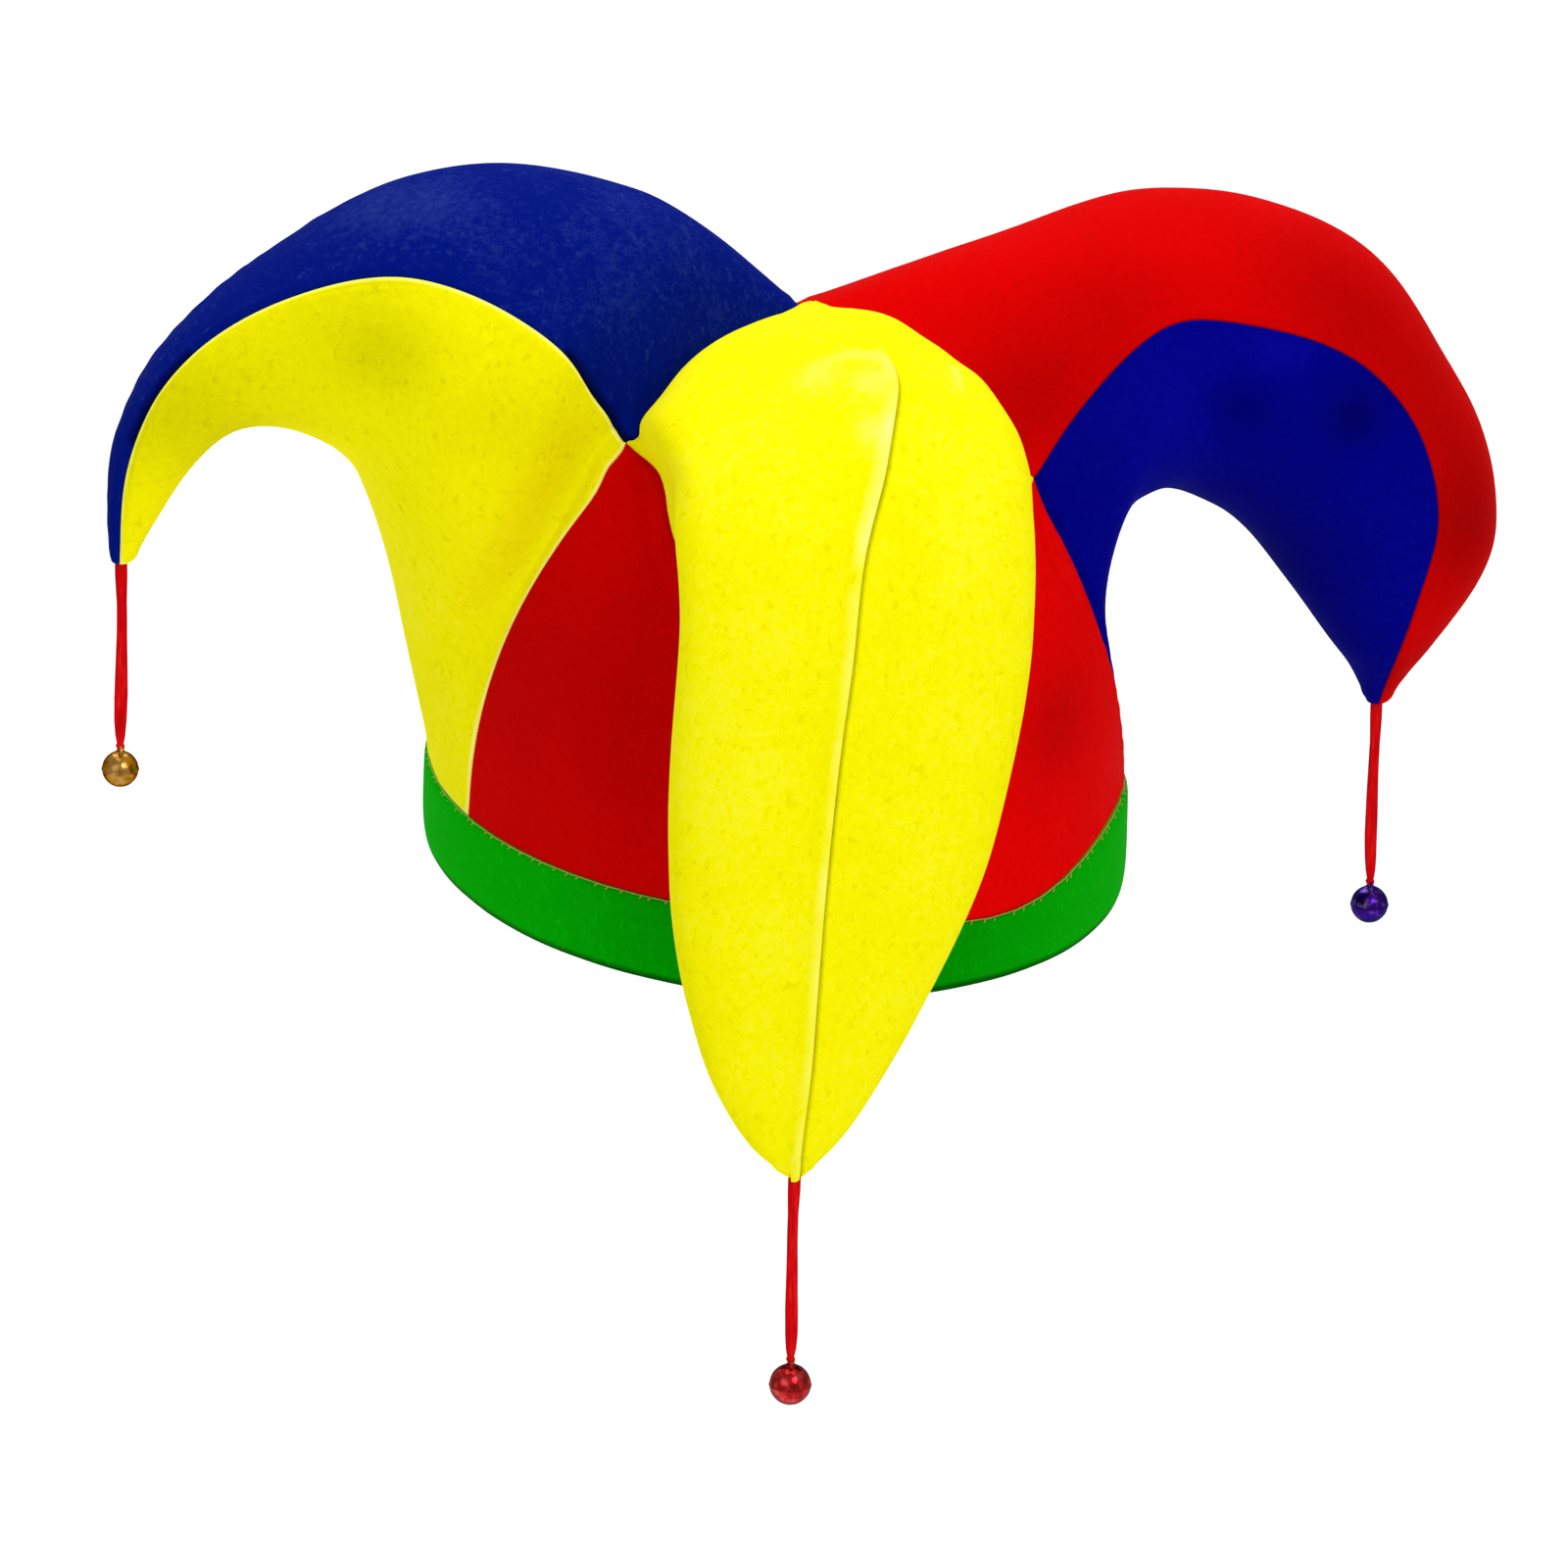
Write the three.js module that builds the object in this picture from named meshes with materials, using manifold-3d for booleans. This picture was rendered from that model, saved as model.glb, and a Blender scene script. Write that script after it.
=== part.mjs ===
// Jester hat of felt: a crown that opens into three drooping horns, a plain band round the rim, and
// a jingle bell hung on a ribbon from the tip of each horn.
// Millimetres, +Z up. The origin is the middle of the rim, where the hat sits on a head. The front
// horn falls towards -Y. Left and right are as seen from the front, so left is -X.
import * as THREE from "three";
import { mergeVertices } from "three/addons/utils/BufferGeometryUtils.js";
import Module from "manifold-3d";

const wasm = await Module();
wasm.setup();

// Cloth
const FELT = 2; // wall of a felt panel
const THIN_SHARE = 0.15; // the wall's most share of a horn's thickness, near a tip
const GAP = 0.4; // left between neighbouring pieces

// Head opening and crown
const HALF_WIDTH = 88;
const HALF_DEPTH = 100;
const BAND_HEIGHT = 22;
const RIM_DIP = 3; // the soft rim hangs this much lower at +X, and higher at -X
// Right of the front horn the band's upper edge runs aslant: it is lower on the near side of this
// azimuth, higher on the far side, and level again beyond the reach
const BAND_SLANT = { azimuth: -44, reach: 60, height: 7.5 };
const CROWN_HEIGHT = 150;
const CROWN_FULLNESS = 3; // 2 is an ellipse from rim to top, more is squarer
const APEX = new THREE.Vector3(4, 0, 147);
const VALLEY_FALL = 1.3; // 1 falls evenly from the apex to a parting, more stays high for longer

// The band's strip, folded double: its section, as distance out from the crown and height
const BAND_SECTION = [
  { out: 0.6, height: BAND_HEIGHT - GAP },
  { out: 1.2, height: 17 },
  { out: 1.2, height: 6 },
  { out: 0.6, height: 1.2 },
  { out: -0.4, height: 0 },
  { out: -1.4, height: 1.2 },
  { out: -1.8, height: 6 },
  { out: -1.8, height: 17 },
  { out: -1.8, height: BAND_HEIGHT - GAP },
];

// Where two neighbouring horns part, which is the peak of the gusset between them
const PARTINGS = {
  front_left: { azimuth: -139, height: 128 },
  front_right: { azimuth: -42, height: 119 },
  back: { azimuth: 78, height: 108 },
};

// Each horn leaves the crown towards its heading, and its foot spreads along the band on both sides
// of that. The bow is how far the edges of its gussets bow towards it, and 1 is straight. The ridge is
// how far a sewn crest stands up along its top, as a share of the width, and the bell is the radius of
// the bell that hangs from its tip. A row is a section, an oval from the point on top of the horn to the
// point under it, both given as distance from the hat's axis and height. Sway is its shift to the side,
// width half its width, lean how far its upper half is pulled over sideways, and seam the angle above
// its middle where the upper panel ends. The last row is the blunt tip.
const HORNS = {
  left: {
    heading: 180,
    ahead: { parting: "front_left", foot: 15.4 },
    behind: { parting: "back", foot: 30 },
    bow: 1.77,
    ridge: 0,
    bell: 4.7,
    sections: [
      { top: [29, 175], under: [95, 58], sway: 0, width: 41, lean: 0, seam: 16 },
      { top: [49, 183], under: [99, 78], sway: 0, width: 48, lean: 0, seam: 25 },
      { top: [77, 187], under: [104, 96], sway: 0, width: 46, lean: 0, seam: 34 },
      { top: [103, 182], under: [113, 115], sway: 0, width: 38, lean: 0, seam: 43 },
      { top: [128, 168], under: [128, 124], sway: 0, width: 29, lean: 0, seam: 54 },
      { top: [149, 153], under: [141, 124], sway: 0, width: 22, lean: 0, seam: 60 },
      { top: [163.5, 137], under: [150, 116], sway: 0, width: 15, lean: 0, seam: 54 },
      { top: [172, 115], under: [158, 104], sway: 0, width: 9, lean: 0, seam: 40 },
      { top: [171.5, 88.5], under: [166.5, 88.5], sway: 0, width: 2.5, lean: 0, seam: 20 },
    ],
  },
  front: {
    heading: -90,
    ahead: { parting: "front_right", foot: 13 },
    behind: { parting: "front_left", foot: 13 },
    bow: 3,
    ridge: 0.04,
    bell: 5.3,
    sections: [
      { top: [45, 163.5], under: [88, 108], sway: -2.7, width: 43.7, lean: 4, seam: 7 },
      { top: [75, 166], under: [101, 110], sway: -4.3, width: 44.7, lean: 12, seam: 8 },
      { top: [105, 154], under: [109, 104], sway: -4.4, width: 45.1, lean: 11, seam: 5 },
      { top: [128, 130], under: [111, 97], sway: -5.5, width: 44.5, lean: 2, seam: 2 },
      { top: [142, 92], under: [114, 78], sway: -9, width: 44, lean: -5, seam: 0 },
      { top: [150, 45], under: [122, 42], sway: -16, width: 38.5, lean: -4, seam: 0 },
      { top: [152, 5], under: [135, 3], sway: -22.5, width: 24.3, lean: 0, seam: 0 },
      { top: [152, -16.5], under: [142, -16.5], sway: -24.5, width: 12, lean: 0, seam: 0 },
      { top: [150.5, -25.5], under: [145.5, -25.5], sway: -24.5, width: 2.5, lean: 0, seam: 0 },
    ],
  },
  right: {
    heading: 0,
    ahead: { parting: "back", foot: 30 },
    behind: { parting: "front_right", foot: 10 },
    bow: 0.75,
    ridge: 0,
    bell: 4.9,
    sections: [
      { top: [61, 162], under: [79, 58], sway: 0, width: 51, lean: 0, seam: 26 },
      { top: [92, 170], under: [80, 89], sway: 0, width: 49, lean: 0, seam: 34 },
      { top: [121, 168], under: [92, 97], sway: 0, width: 46, lean: 0, seam: 30 },
      { top: [151, 154], under: [107, 92], sway: 0, width: 42, lean: 0, seam: 29.5 },
      { top: [170.5, 127], under: [116, 86], sway: 0, width: 38, lean: 0, seam: 31 },
      { top: [183.5, 99], under: [123.5, 78], sway: 0, width: 33, lean: 0, seam: 20 },
      { top: [185, 74.5], under: [132, 66], sway: 0, width: 28, lean: 0, seam: 4 },
      { top: [172, 52], under: [143, 50], sway: 0, width: 19, lean: 0, seam: 0 },
      { top: [164.5, 41], under: [149.5, 41], sway: 0, width: 11, lean: 0, seam: 0 },
      { top: [159.5, 31], under: [154.5, 31], sway: 0, width: 2.5, lean: 0, seam: 0 },
    ],
  },
};
const FOOT_ANGLE = -60; // where on a section the lines from the foot's corners run

// Mesh steps round half a horn: from its top to the parting, down the gusset's edge, along the foot
const TOP_STEPS = 5;
const EDGE_STEPS = 7;
const FOOT_STEPS = 3;
const HALF_STEPS = TOP_STEPS + EDGE_STEPS + FOOT_STEPS;
const ROWS_PER_SECTION = 2;
const GUSSET_COLUMNS = 8;
const BAND_COLUMNS = 60;

// Ribbons and bells
const RIBBON_LENGTH = 48.5;
const RIBBON_RADIUS = 1.5;
const RIBBON_STEPS = 7;
const BELL_WALL = 0.6;
const BELL_SLOT = 1.2;
const EYE_RADIUS = 1.6;
const EYE_WIRE = 0.5;

const UP = new THREE.Vector3(0, 0, 1);
const { clamp, lerp, degToRad } = THREE.MathUtils;

// The way out along a horn's heading, and the way across it, towards rising azimuth.
function axesOf(horn) {
  const turn = degToRad(horn.heading);
  const out = new THREE.Vector3(Math.cos(turn), Math.sin(turn), 0);
  return { out, across: UP.clone().cross(out) };
}

// The point on the crown at an azimuth and height, and some way out from it.
function crownPoint(azimuth, height, out = 0) {
  const girth = (1 - (height / CROWN_HEIGHT) ** CROWN_FULLNESS) ** (1 / CROWN_FULLNESS);
  const x = (HALF_WIDTH * girth + out) * Math.cos(degToRad(azimuth));
  const y = (HALF_DEPTH * girth + out) * Math.sin(degToRad(azimuth));
  return new THREE.Vector3(x, y, height - (RIM_DIP * x) / HALF_WIDTH);
}

// An angle turned by whole turns to lie within half a turn of another.
function nearAngle(angle, other) {
  return angle - 360 * Math.round((angle - other) / 360);
}

// The height of the band's upper edge.
function bandTop(azimuth) {
  const away = nearAngle(azimuth, BAND_SLANT.azimuth) - BAND_SLANT.azimuth;
  const turn = Math.PI * clamp(away / BAND_SLANT.reach, -1, 1);
  return BAND_HEIGHT + BAND_SLANT.height * Math.sin(turn) * Math.cos(turn / 2) ** 2;
}

// The valley between two horns, from the apex (share 0) to their parting (share 1).
function valleyPoint(parting, share) {
  const end = crownPoint(parting.azimuth, parting.height);
  const point = APEX.clone().lerp(end, share);
  point.z = lerp(APEX.z, end.z, share ** VALLEY_FALL);
  return point;
}

// One edge of a gusset, from the parting (share 0) to the band (share 1). Side is 1 ahead of the
// horn's heading and -1 behind it.
function edgePlace(horn, side, share) {
  const { parting, foot } = side > 0 ? horn.ahead : horn.behind;
  const { azimuth: peak, height } = PARTINGS[parting];
  const bowed = 1 - (1 - share) ** horn.bow;
  const azimuth = lerp(nearAngle(peak, horn.heading), horn.heading + side * foot, bowed);
  return { azimuth, height: lerp(height, bandTop(azimuth), share) };
}

// The loop where a horn leaves the crown: a valley, a gusset's edge and half the foot on each side.
function rootPoint(horn, side, step) {
  const { parting, foot } = side > 0 ? horn.ahead : horn.behind;
  if (step <= TOP_STEPS) return valleyPoint(PARTINGS[parting], step / TOP_STEPS);
  const below = step - TOP_STEPS;
  if (below <= EDGE_STEPS) {
    const { azimuth, height } = edgePlace(horn, side, below / EDGE_STEPS);
    return crownPoint(azimuth, height);
  }
  const azimuth = horn.heading + (side * foot * (HALF_STEPS - step)) / FOOT_STEPS;
  return crownPoint(azimuth, bandTop(azimuth));
}

// The angle on a section, from 90 on top to -90 underneath, of a step of the root's loop.
function sectionAngle(seam, step) {
  if (step <= TOP_STEPS) return lerp(90, seam, step / TOP_STEPS);
  const below = step - TOP_STEPS;
  if (below <= EDGE_STEPS) return lerp(seam, FOOT_ANGLE, below / EDGE_STEPS);
  return lerp(FOOT_ANGLE, -90, (below - EDGE_STEPS) / FOOT_STEPS);
}

// The point on the middle plane of a horn at a distance from the hat's axis and a height.
function planePoint(horn, [reach, rise]) {
  return axesOf(horn).out.multiplyScalar(reach).addScaledVector(UP, rise);
}

function sectionPoint(horn, section, side, step) {
  const top = planePoint(horn, section.top);
  const under = planePoint(horn, section.under);
  const angle = degToRad(sectionAngle(section.seam, step));
  const crest = step === 0 ? (horn.ridge * section.width) / top.distanceTo(under) : 0;
  const pulled = section.lean * Math.max(0, Math.sin(angle)) ** 4;
  const sideways = section.sway + pulled + side * section.width * Math.cos(angle);
  return under.lerp(top, (1 + Math.sin(angle)) / 2 + crest).addScaledVector(axesOf(horn).across, sideways);
}

function tipPoint(horn) {
  const { top, under, sway } = horn.sections.at(-1);
  const middle = planePoint(horn, top).lerp(planePoint(horn, under), 0.5);
  return middle.addScaledVector(axesOf(horn).across, sway);
}

// One line along a horn, from the crown to the tip.
function hornLine(horn, side, step) {
  const points = [rootPoint(horn, side, step)];
  for (const section of horn.sections) points.push(sectionPoint(horn, section, side, step));
  const curve = new THREE.CatmullRomCurve3(points, false, "centripetal");
  return curve.getPoints(ROWS_PER_SECTION * (points.length - 1));
}

// The lines round a horn: from the top down the side ahead, underneath, and up the side behind.
// Each place has a point and the wall's thickness there.
function hornLines(horn) {
  const lines = [];
  for (let step = 0; step <= HALF_STEPS; step++) lines.push(hornLine(horn, 1, step));
  for (let step = HALF_STEPS - 1; step >= 0; step--) lines.push(hornLine(horn, -1, step));
  const top = lines[0];
  const under = lines[HALF_STEPS];
  const wallAt = (j) => Math.min(FELT, THIN_SHARE * top[j].distanceTo(under[j]));
  return lines.map((line) => line.map((point, j) => ({ point, wall: wallAt(j) })));
}

// A gusset, as lines from its peak to the band, between the edges of a horn and of the next one.
function gussetLines(horn, next) {
  const lines = [];
  for (let column = 0; column <= GUSSET_COLUMNS; column++) {
    const line = [];
    for (let step = 0; step <= EDGE_STEPS; step++) {
      const start = edgePlace(horn, 1, step / EDGE_STEPS);
      const end = edgePlace(next, -1, step / EDGE_STEPS);
      const turned = nearAngle(end.azimuth, start.azimuth);
      const azimuth = lerp(start.azimuth, turned, column / GUSSET_COLUMNS);
      const height = lerp(PARTINGS[horn.ahead.parting].height, bandTop(azimuth), step / EDGE_STEPS);
      line.push({ point: crownPoint(azimuth, height), wall: FELT });
    }
    lines.push(line);
  }
  return lines;
}

const placeKey = (point) => point.toArray().map((value) => Math.round(value * 100)).join();

// The outward normal at each place of the sewn panels. Places on a seam share one normal, so that the
// walls of neighbours meet in a mitre.
function sewnNormals(grids) {
  const normals = new Map();
  for (const lines of grids) {
    for (let i = 0; i + 1 < lines.length; i++) {
      for (let j = 0; j + 1 < lines[i].length; j++) {
        const places = [lines[i][j], lines[i][j + 1], lines[i + 1][j + 1], lines[i + 1][j]];
        const [a, b, c, d] = places.map((place) => place.point);
        const normal = c.clone().sub(a).cross(d.clone().sub(b)).normalize();
        for (const point of [a, b, c, d]) {
          const key = placeKey(point);
          if (!normals.has(key)) normals.set(key, new THREE.Vector3());
          normals.get(key).add(normal);
        }
      }
    }
  }
  normals.forEach((normal) => normal.normalize());
  return normals;
}

// How far a point on a panel's border is drawn in: square to the border, half the gap.
function drawIn(point, before, after, inner) {
  const along = after.clone().sub(before).normalize();
  const inwards = inner.clone().sub(point);
  return inwards.addScaledVector(along, -inwards.dot(along)).setLength(GAP / 2);
}

// A panel's outer points, drawn in from its seams. A panel with a peak has it drawn down.
function outerPoints(lines) {
  const last = lines.length - 1;
  const end = lines[0].length - 1;
  const at = (i, j) => lines[Math.min(Math.max(i, 0), last)][Math.min(Math.max(j, 0), end)].point;
  const peaked = at(0, 0).distanceTo(at(last, 0)) < GAP;
  return lines.map((line, i) =>
    line.map(({ point }, j) => {
      const moved = point.clone();
      if (peaked && j === 0) {
        const middle = at(last / 2, 1).clone().sub(point);
        return moved.addScaledVector(middle.normalize(), GAP);
      }
      if (i === 0) moved.add(drawIn(point, at(i, j - 1), at(i, j + 1), at(1, j)));
      if (i === last) moved.add(drawIn(point, at(i, j - 1), at(i, j + 1), at(last - 1, j)));
      if (j === 0) moved.add(drawIn(point, at(i - 1, j), at(i + 1, j), at(i, 1)));
      if (j === end) moved.add(drawIn(point, at(i - 1, j), at(i + 1, j), at(i, end - 1)));
      return moved;
    }),
  );
}

// Merges equal points and drops the triangles that have shrunk to an edge or a point.
function tidied(geometry) {
  const merged = mergeVertices(geometry, 1e-3);
  const old = merged.index.array;
  const index = [];
  for (let t = 0; t < old.length; t += 3) {
    const [a, b, c] = old.slice(t, t + 3);
    if (a !== b && b !== c && c !== a) index.push(a, b, c);
  }
  merged.setIndex(index);
  return merged;
}

// The felt of a panel: a closed wall between its outer points and the same points moved inwards.
function panelGeometry(lines, normals) {
  const outer = outerPoints(lines);
  const inner = lines.map((line, i) =>
    line.map(({ point, wall }, j) => {
      return outer[i][j].clone().addScaledVector(normals.get(placeKey(point)), -wall);
    }),
  );
  const last = lines.length - 1;
  const end = lines[0].length - 1;
  const at = (layer, i, j) => (layer * (last + 1) + i) * (end + 1) + j;
  const index = [];
  const quad = (a, b, c, d) => index.push(a, b, c, a, c, d);
  for (let i = 0; i < last; i++) {
    for (let j = 0; j < end; j++) {
      quad(at(0, i, j), at(0, i, j + 1), at(0, i + 1, j + 1), at(0, i + 1, j));
      quad(at(1, i, j), at(1, i + 1, j), at(1, i + 1, j + 1), at(1, i, j + 1));
    }
    quad(at(0, i, 0), at(0, i + 1, 0), at(1, i + 1, 0), at(1, i, 0));
    quad(at(0, i + 1, end), at(0, i, end), at(1, i, end), at(1, i + 1, end));
  }
  for (let j = 0; j < end; j++) {
    quad(at(0, 0, j + 1), at(0, 0, j), at(1, 0, j), at(1, 0, j + 1));
    quad(at(0, last, j), at(0, last, j + 1), at(1, last, j + 1), at(1, last, j));
  }
  const geometry = new THREE.BufferGeometry().setFromPoints([...outer.flat(), ...inner.flat()]);
  geometry.setIndex(index);
  return tidied(geometry);
}

// The band: its section carried once round the rim.
function bandGeometry() {
  const points = [];
  const index = [];
  const count = BAND_SECTION.length;
  for (let column = 0; column < BAND_COLUMNS; column++) {
    const azimuth = (360 * column) / BAND_COLUMNS;
    const taller = bandTop(azimuth) / BAND_HEIGHT;
    for (const { out, height } of BAND_SECTION) points.push(crownPoint(azimuth, taller * height, out));
    const next = (column + 1) % BAND_COLUMNS;
    for (let row = 0; row < count; row++) {
      const after = (row + 1) % count;
      const [a, b] = [column * count + row, column * count + after];
      const [c, d] = [next * count + after, next * count + row];
      index.push(a, b, c, a, c, d);
    }
  }
  const geometry = new THREE.BufferGeometry().setFromPoints(points);
  geometry.setIndex(index);
  return geometry;
}

// The ribbon that hangs straight down from a tip.
function ribbonGeometry(horn) {
  const start = tipPoint(horn).addScaledVector(UP, -GAP);
  const end = start.clone().addScaledVector(UP, -RIBBON_LENGTH);
  const outline = new THREE.Shape();
  for (let corner = 0; corner < 8; corner++) {
    const turn = (corner * Math.PI) / 4;
    const [x, y] = [RIBBON_RADIUS * Math.cos(turn), RIBBON_RADIUS * Math.sin(turn)];
    if (corner === 0) outline.moveTo(x, y);
    else outline.lineTo(x, y);
  }
  outline.closePath();
  return new THREE.ExtrudeGeometry(outline, {
    steps: RIBBON_STEPS,
    bevelEnabled: false,
    extrudePath: new THREE.LineCurve3(start, end),
  });
}

function solidOf(geometry) {
  geometry.deleteAttribute("normal");
  geometry.deleteAttribute("uv");
  const merged = tidied(geometry);
  return new wasm.Manifold(
    new wasm.Mesh({
      numProp: 3,
      vertProperties: new Float32Array(merged.attributes.position.array),
      triVerts: new Uint32Array(merged.index.array),
    }),
  );
}

// A jingle bell: a hollow ball with a slot across its underside, and an eye on top.
function bellGeometry(horn) {
  const radius = horn.bell;
  const eyeTop = radius + EYE_RADIUS + EYE_WIRE;
  const middle = tipPoint(horn).addScaledVector(UP, -2 * GAP - RIBBON_LENGTH - eyeTop);
  const upright = (geometry) => geometry.rotateX(Math.PI / 2);
  const ball = solidOf(upright(new THREE.SphereGeometry(radius, 14, 9)));
  const hollow = solidOf(upright(new THREE.SphereGeometry(radius - BELL_WALL, 12, 7)));
  const slot = solidOf(
    new THREE.BoxGeometry(1.6 * radius, BELL_SLOT, radius).translate(0, 0, -0.8 * radius),
  );
  const ring = new THREE.TorusGeometry(EYE_RADIUS, EYE_WIRE, 5, 10);
  const eye = solidOf(upright(ring).rotateZ(Math.PI / 2).translate(0, 0, radius));
  const bell = ball.add(eye).subtract(hollow).subtract(slot).getMesh();
  const geometry = new THREE.BufferGeometry();
  geometry.setAttribute("position", new THREE.BufferAttribute(bell.vertProperties, 3));
  geometry.setIndex(new THREE.BufferAttribute(bell.triVerts, 1));
  return geometry.translate(...middle.toArray());
}

const left = hornLines(HORNS.left);
const front = hornLines(HORNS.front);
const right = hornLines(HORNS.right);

// A side horn's upper panel lies above its two seams, on both sides of the line on top.
function upperPanel(lines) {
  return [...lines.slice(2 * HALF_STEPS - TOP_STEPS), ...lines.slice(1, TOP_STEPS + 1)];
}

function lowerPanel(lines) {
  return lines.slice(TOP_STEPS, 2 * HALF_STEPS - TOP_STEPS + 1);
}

const PANELS = {
  left_horn_upper: upperPanel(left),
  left_horn_lower: lowerPanel(left),
  right_horn_upper: upperPanel(right),
  right_horn_lower: lowerPanel(right),
  front_horn_right: front.slice(0, HALF_STEPS + 1),
  front_horn_left: front.slice(HALF_STEPS),
  gusset_front_left: gussetLines(HORNS.left, HORNS.front),
  gusset_front_right: gussetLines(HORNS.front, HORNS.right),
  gusset_back: gussetLines(HORNS.right, HORNS.left),
};

const COLOURS = {
  band: "#009600",
  left_horn_upper: "#0a2090",
  left_horn_lower: "#e8e600",
  right_horn_upper: "#dc0000",
  right_horn_lower: "#000078",
  front_horn_right: "#fff500",
  front_horn_left: "#fff500",
  gusset_front_left: "#c80000",
  gusset_front_right: "#dc0000",
  gusset_back: "#d00000",
  ribbon: "#e00000",
  left_bell: "#be821e",
  right_bell: "#280078",
  front_bell: "#a0000a",
};

const hat = new THREE.Group();

function addPiece(name, geometry, colour, roughness, metalness) {
  const material = new THREE.MeshStandardMaterial({ color: colour, roughness, metalness });
  const mesh = new THREE.Mesh(geometry, material);
  mesh.name = name;
  hat.add(mesh);
}

const normals = sewnNormals(Object.values(PANELS));
for (const [name, lines] of Object.entries(PANELS)) {
  addPiece(name, panelGeometry(lines, normals), COLOURS[name], 0.95, 0);
}
addPiece("band", bandGeometry(), COLOURS.band, 0.95, 0);
for (const [name, horn] of Object.entries(HORNS)) {
  addPiece(`${name}_ribbon`, ribbonGeometry(horn), COLOURS.ribbon, 0.4, 0);
  addPiece(`${name}_bell`, bellGeometry(horn), COLOURS[`${name}_bell`], 0.25, 1);
}

export default hat;
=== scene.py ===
"""Looks of a jester hat: sewn felt panels, satin ribbons and jingle bells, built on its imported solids.
Metres, +Z up. The front horn falls towards -Y, and left is -X, as seen from the front."""
import math

import bmesh
import bpy
import numpy as np
from mathutils import Matrix, Vector, noise
from mathutils.bvhtree import BVHTree
from mathutils.kdtree import KDTree


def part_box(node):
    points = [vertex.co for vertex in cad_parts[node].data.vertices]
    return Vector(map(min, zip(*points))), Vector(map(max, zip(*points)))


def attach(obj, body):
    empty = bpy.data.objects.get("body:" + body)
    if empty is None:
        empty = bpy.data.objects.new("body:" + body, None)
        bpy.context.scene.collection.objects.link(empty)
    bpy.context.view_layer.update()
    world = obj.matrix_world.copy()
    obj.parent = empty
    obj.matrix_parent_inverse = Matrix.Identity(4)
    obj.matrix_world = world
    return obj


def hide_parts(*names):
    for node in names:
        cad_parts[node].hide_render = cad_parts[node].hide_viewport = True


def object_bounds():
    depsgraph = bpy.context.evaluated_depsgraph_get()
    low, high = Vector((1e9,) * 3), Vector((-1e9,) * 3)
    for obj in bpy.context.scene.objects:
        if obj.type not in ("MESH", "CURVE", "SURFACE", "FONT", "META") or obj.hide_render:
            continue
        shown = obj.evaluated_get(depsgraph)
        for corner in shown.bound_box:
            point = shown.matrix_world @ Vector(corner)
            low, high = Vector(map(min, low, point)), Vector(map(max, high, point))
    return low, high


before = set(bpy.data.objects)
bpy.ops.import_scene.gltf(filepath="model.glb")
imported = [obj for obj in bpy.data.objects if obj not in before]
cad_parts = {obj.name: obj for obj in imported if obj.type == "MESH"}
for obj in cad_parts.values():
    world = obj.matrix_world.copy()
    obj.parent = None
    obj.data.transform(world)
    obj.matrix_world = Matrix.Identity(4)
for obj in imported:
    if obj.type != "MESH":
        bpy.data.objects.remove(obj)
cad_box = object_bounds()

MM = 0.001
UP = Vector((0, 0, 1))

# The photograph's camera
PHOTO_SIDE = 1600  # pixels
ORIGIN_PIXEL = (790, 866)  # where the middle of the rim lies in the picture
VIEW_WIDTH = 0.4  # what the picture spans at the origin
CAMERA_DISTANCE = 4.0
CAMERA_AZIMUTH = -12  # degrees, as are the two below
CAMERA_ELEVATION = 22
CAMERA_ROLL = 1.2
SENSOR_WIDTH = 36  # millimetres

# Stage and light
FLOOR_DROP = 0.5  # from the lowest bell down to the floor
FLOOR_SIDE = 40
WORLD_STRENGTH = 0.52

# Felt panels
WELD = 0.01 * MM
FELT_WALL = 2 * MM  # the solids' thickest wall
WALL_ERROR = 0.002 * MM
WALL_FACING = 0.5  # least cosine between an edge through the wall and the skin that it meets
CORNER_TURN = 38  # degrees; a sharper corner of a panel's outline stays a corner
FINE_LEVELS = 3  # times each face of a solid is divided
FITTING_PASSES = 3  # to draw the smooth surface through the solid's own points
ROLL = 0.65 * MM  # radius of the edge that turns into a seam
ROLL_STEPS = 4
SEAM_SLIDE = 0.19 * MM  # closes the gap between the solids
EDGE_HIGHLIGHT_REACH = 0.9 * MM  # how far from a seam the painted highlight on the rolled edge reaches
ROLL_SHARE = 0.55  # most of a wall that its rolled edge takes up
WALL_SHARE = 0.94  # of the solid's wall, kept clear of the next layer
LEAST_WALL = 0.15 * MM  # at a horn's tip
SEAM_REACH = 6 * MM  # how far from a seam neighbouring panels share their slope
MATE_REACH = 1.1 * MM  # neighbours' borders lie closer than this
FLUSH_REACH = 0.8 * MM  # how far from a border the relief begins
SLIDE_REACH = 4  # how far in a border's moves reach, in times their size
WELT = 0.30 * MM  # the swelling beside a seam, over the allowance folded under it
WELT_PLACE = 2.4 * MM
WELT_SPREAD = 1.3 * MM
PUCKER = 0.22 * MM
PUCKER_LENGTH = 7.5 * MM
PUCKER_REACH = 5.5 * MM
PUCKER_DRIFT = 18 * MM  # over which their spacing and height change
PUCKER_STRAY = 3.5  # radians
PUCKER_EVENNESS = 0.55
WAVES = [  # slow unevenness of the cloth
    dict(length=38 * MM, height=0.55 * MM),
    dict(length=15 * MM, height=0.16 * MM),
]
WAVE_SHIFT = (11.3, 4.7, 7.9)  # from panel to panel

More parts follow.
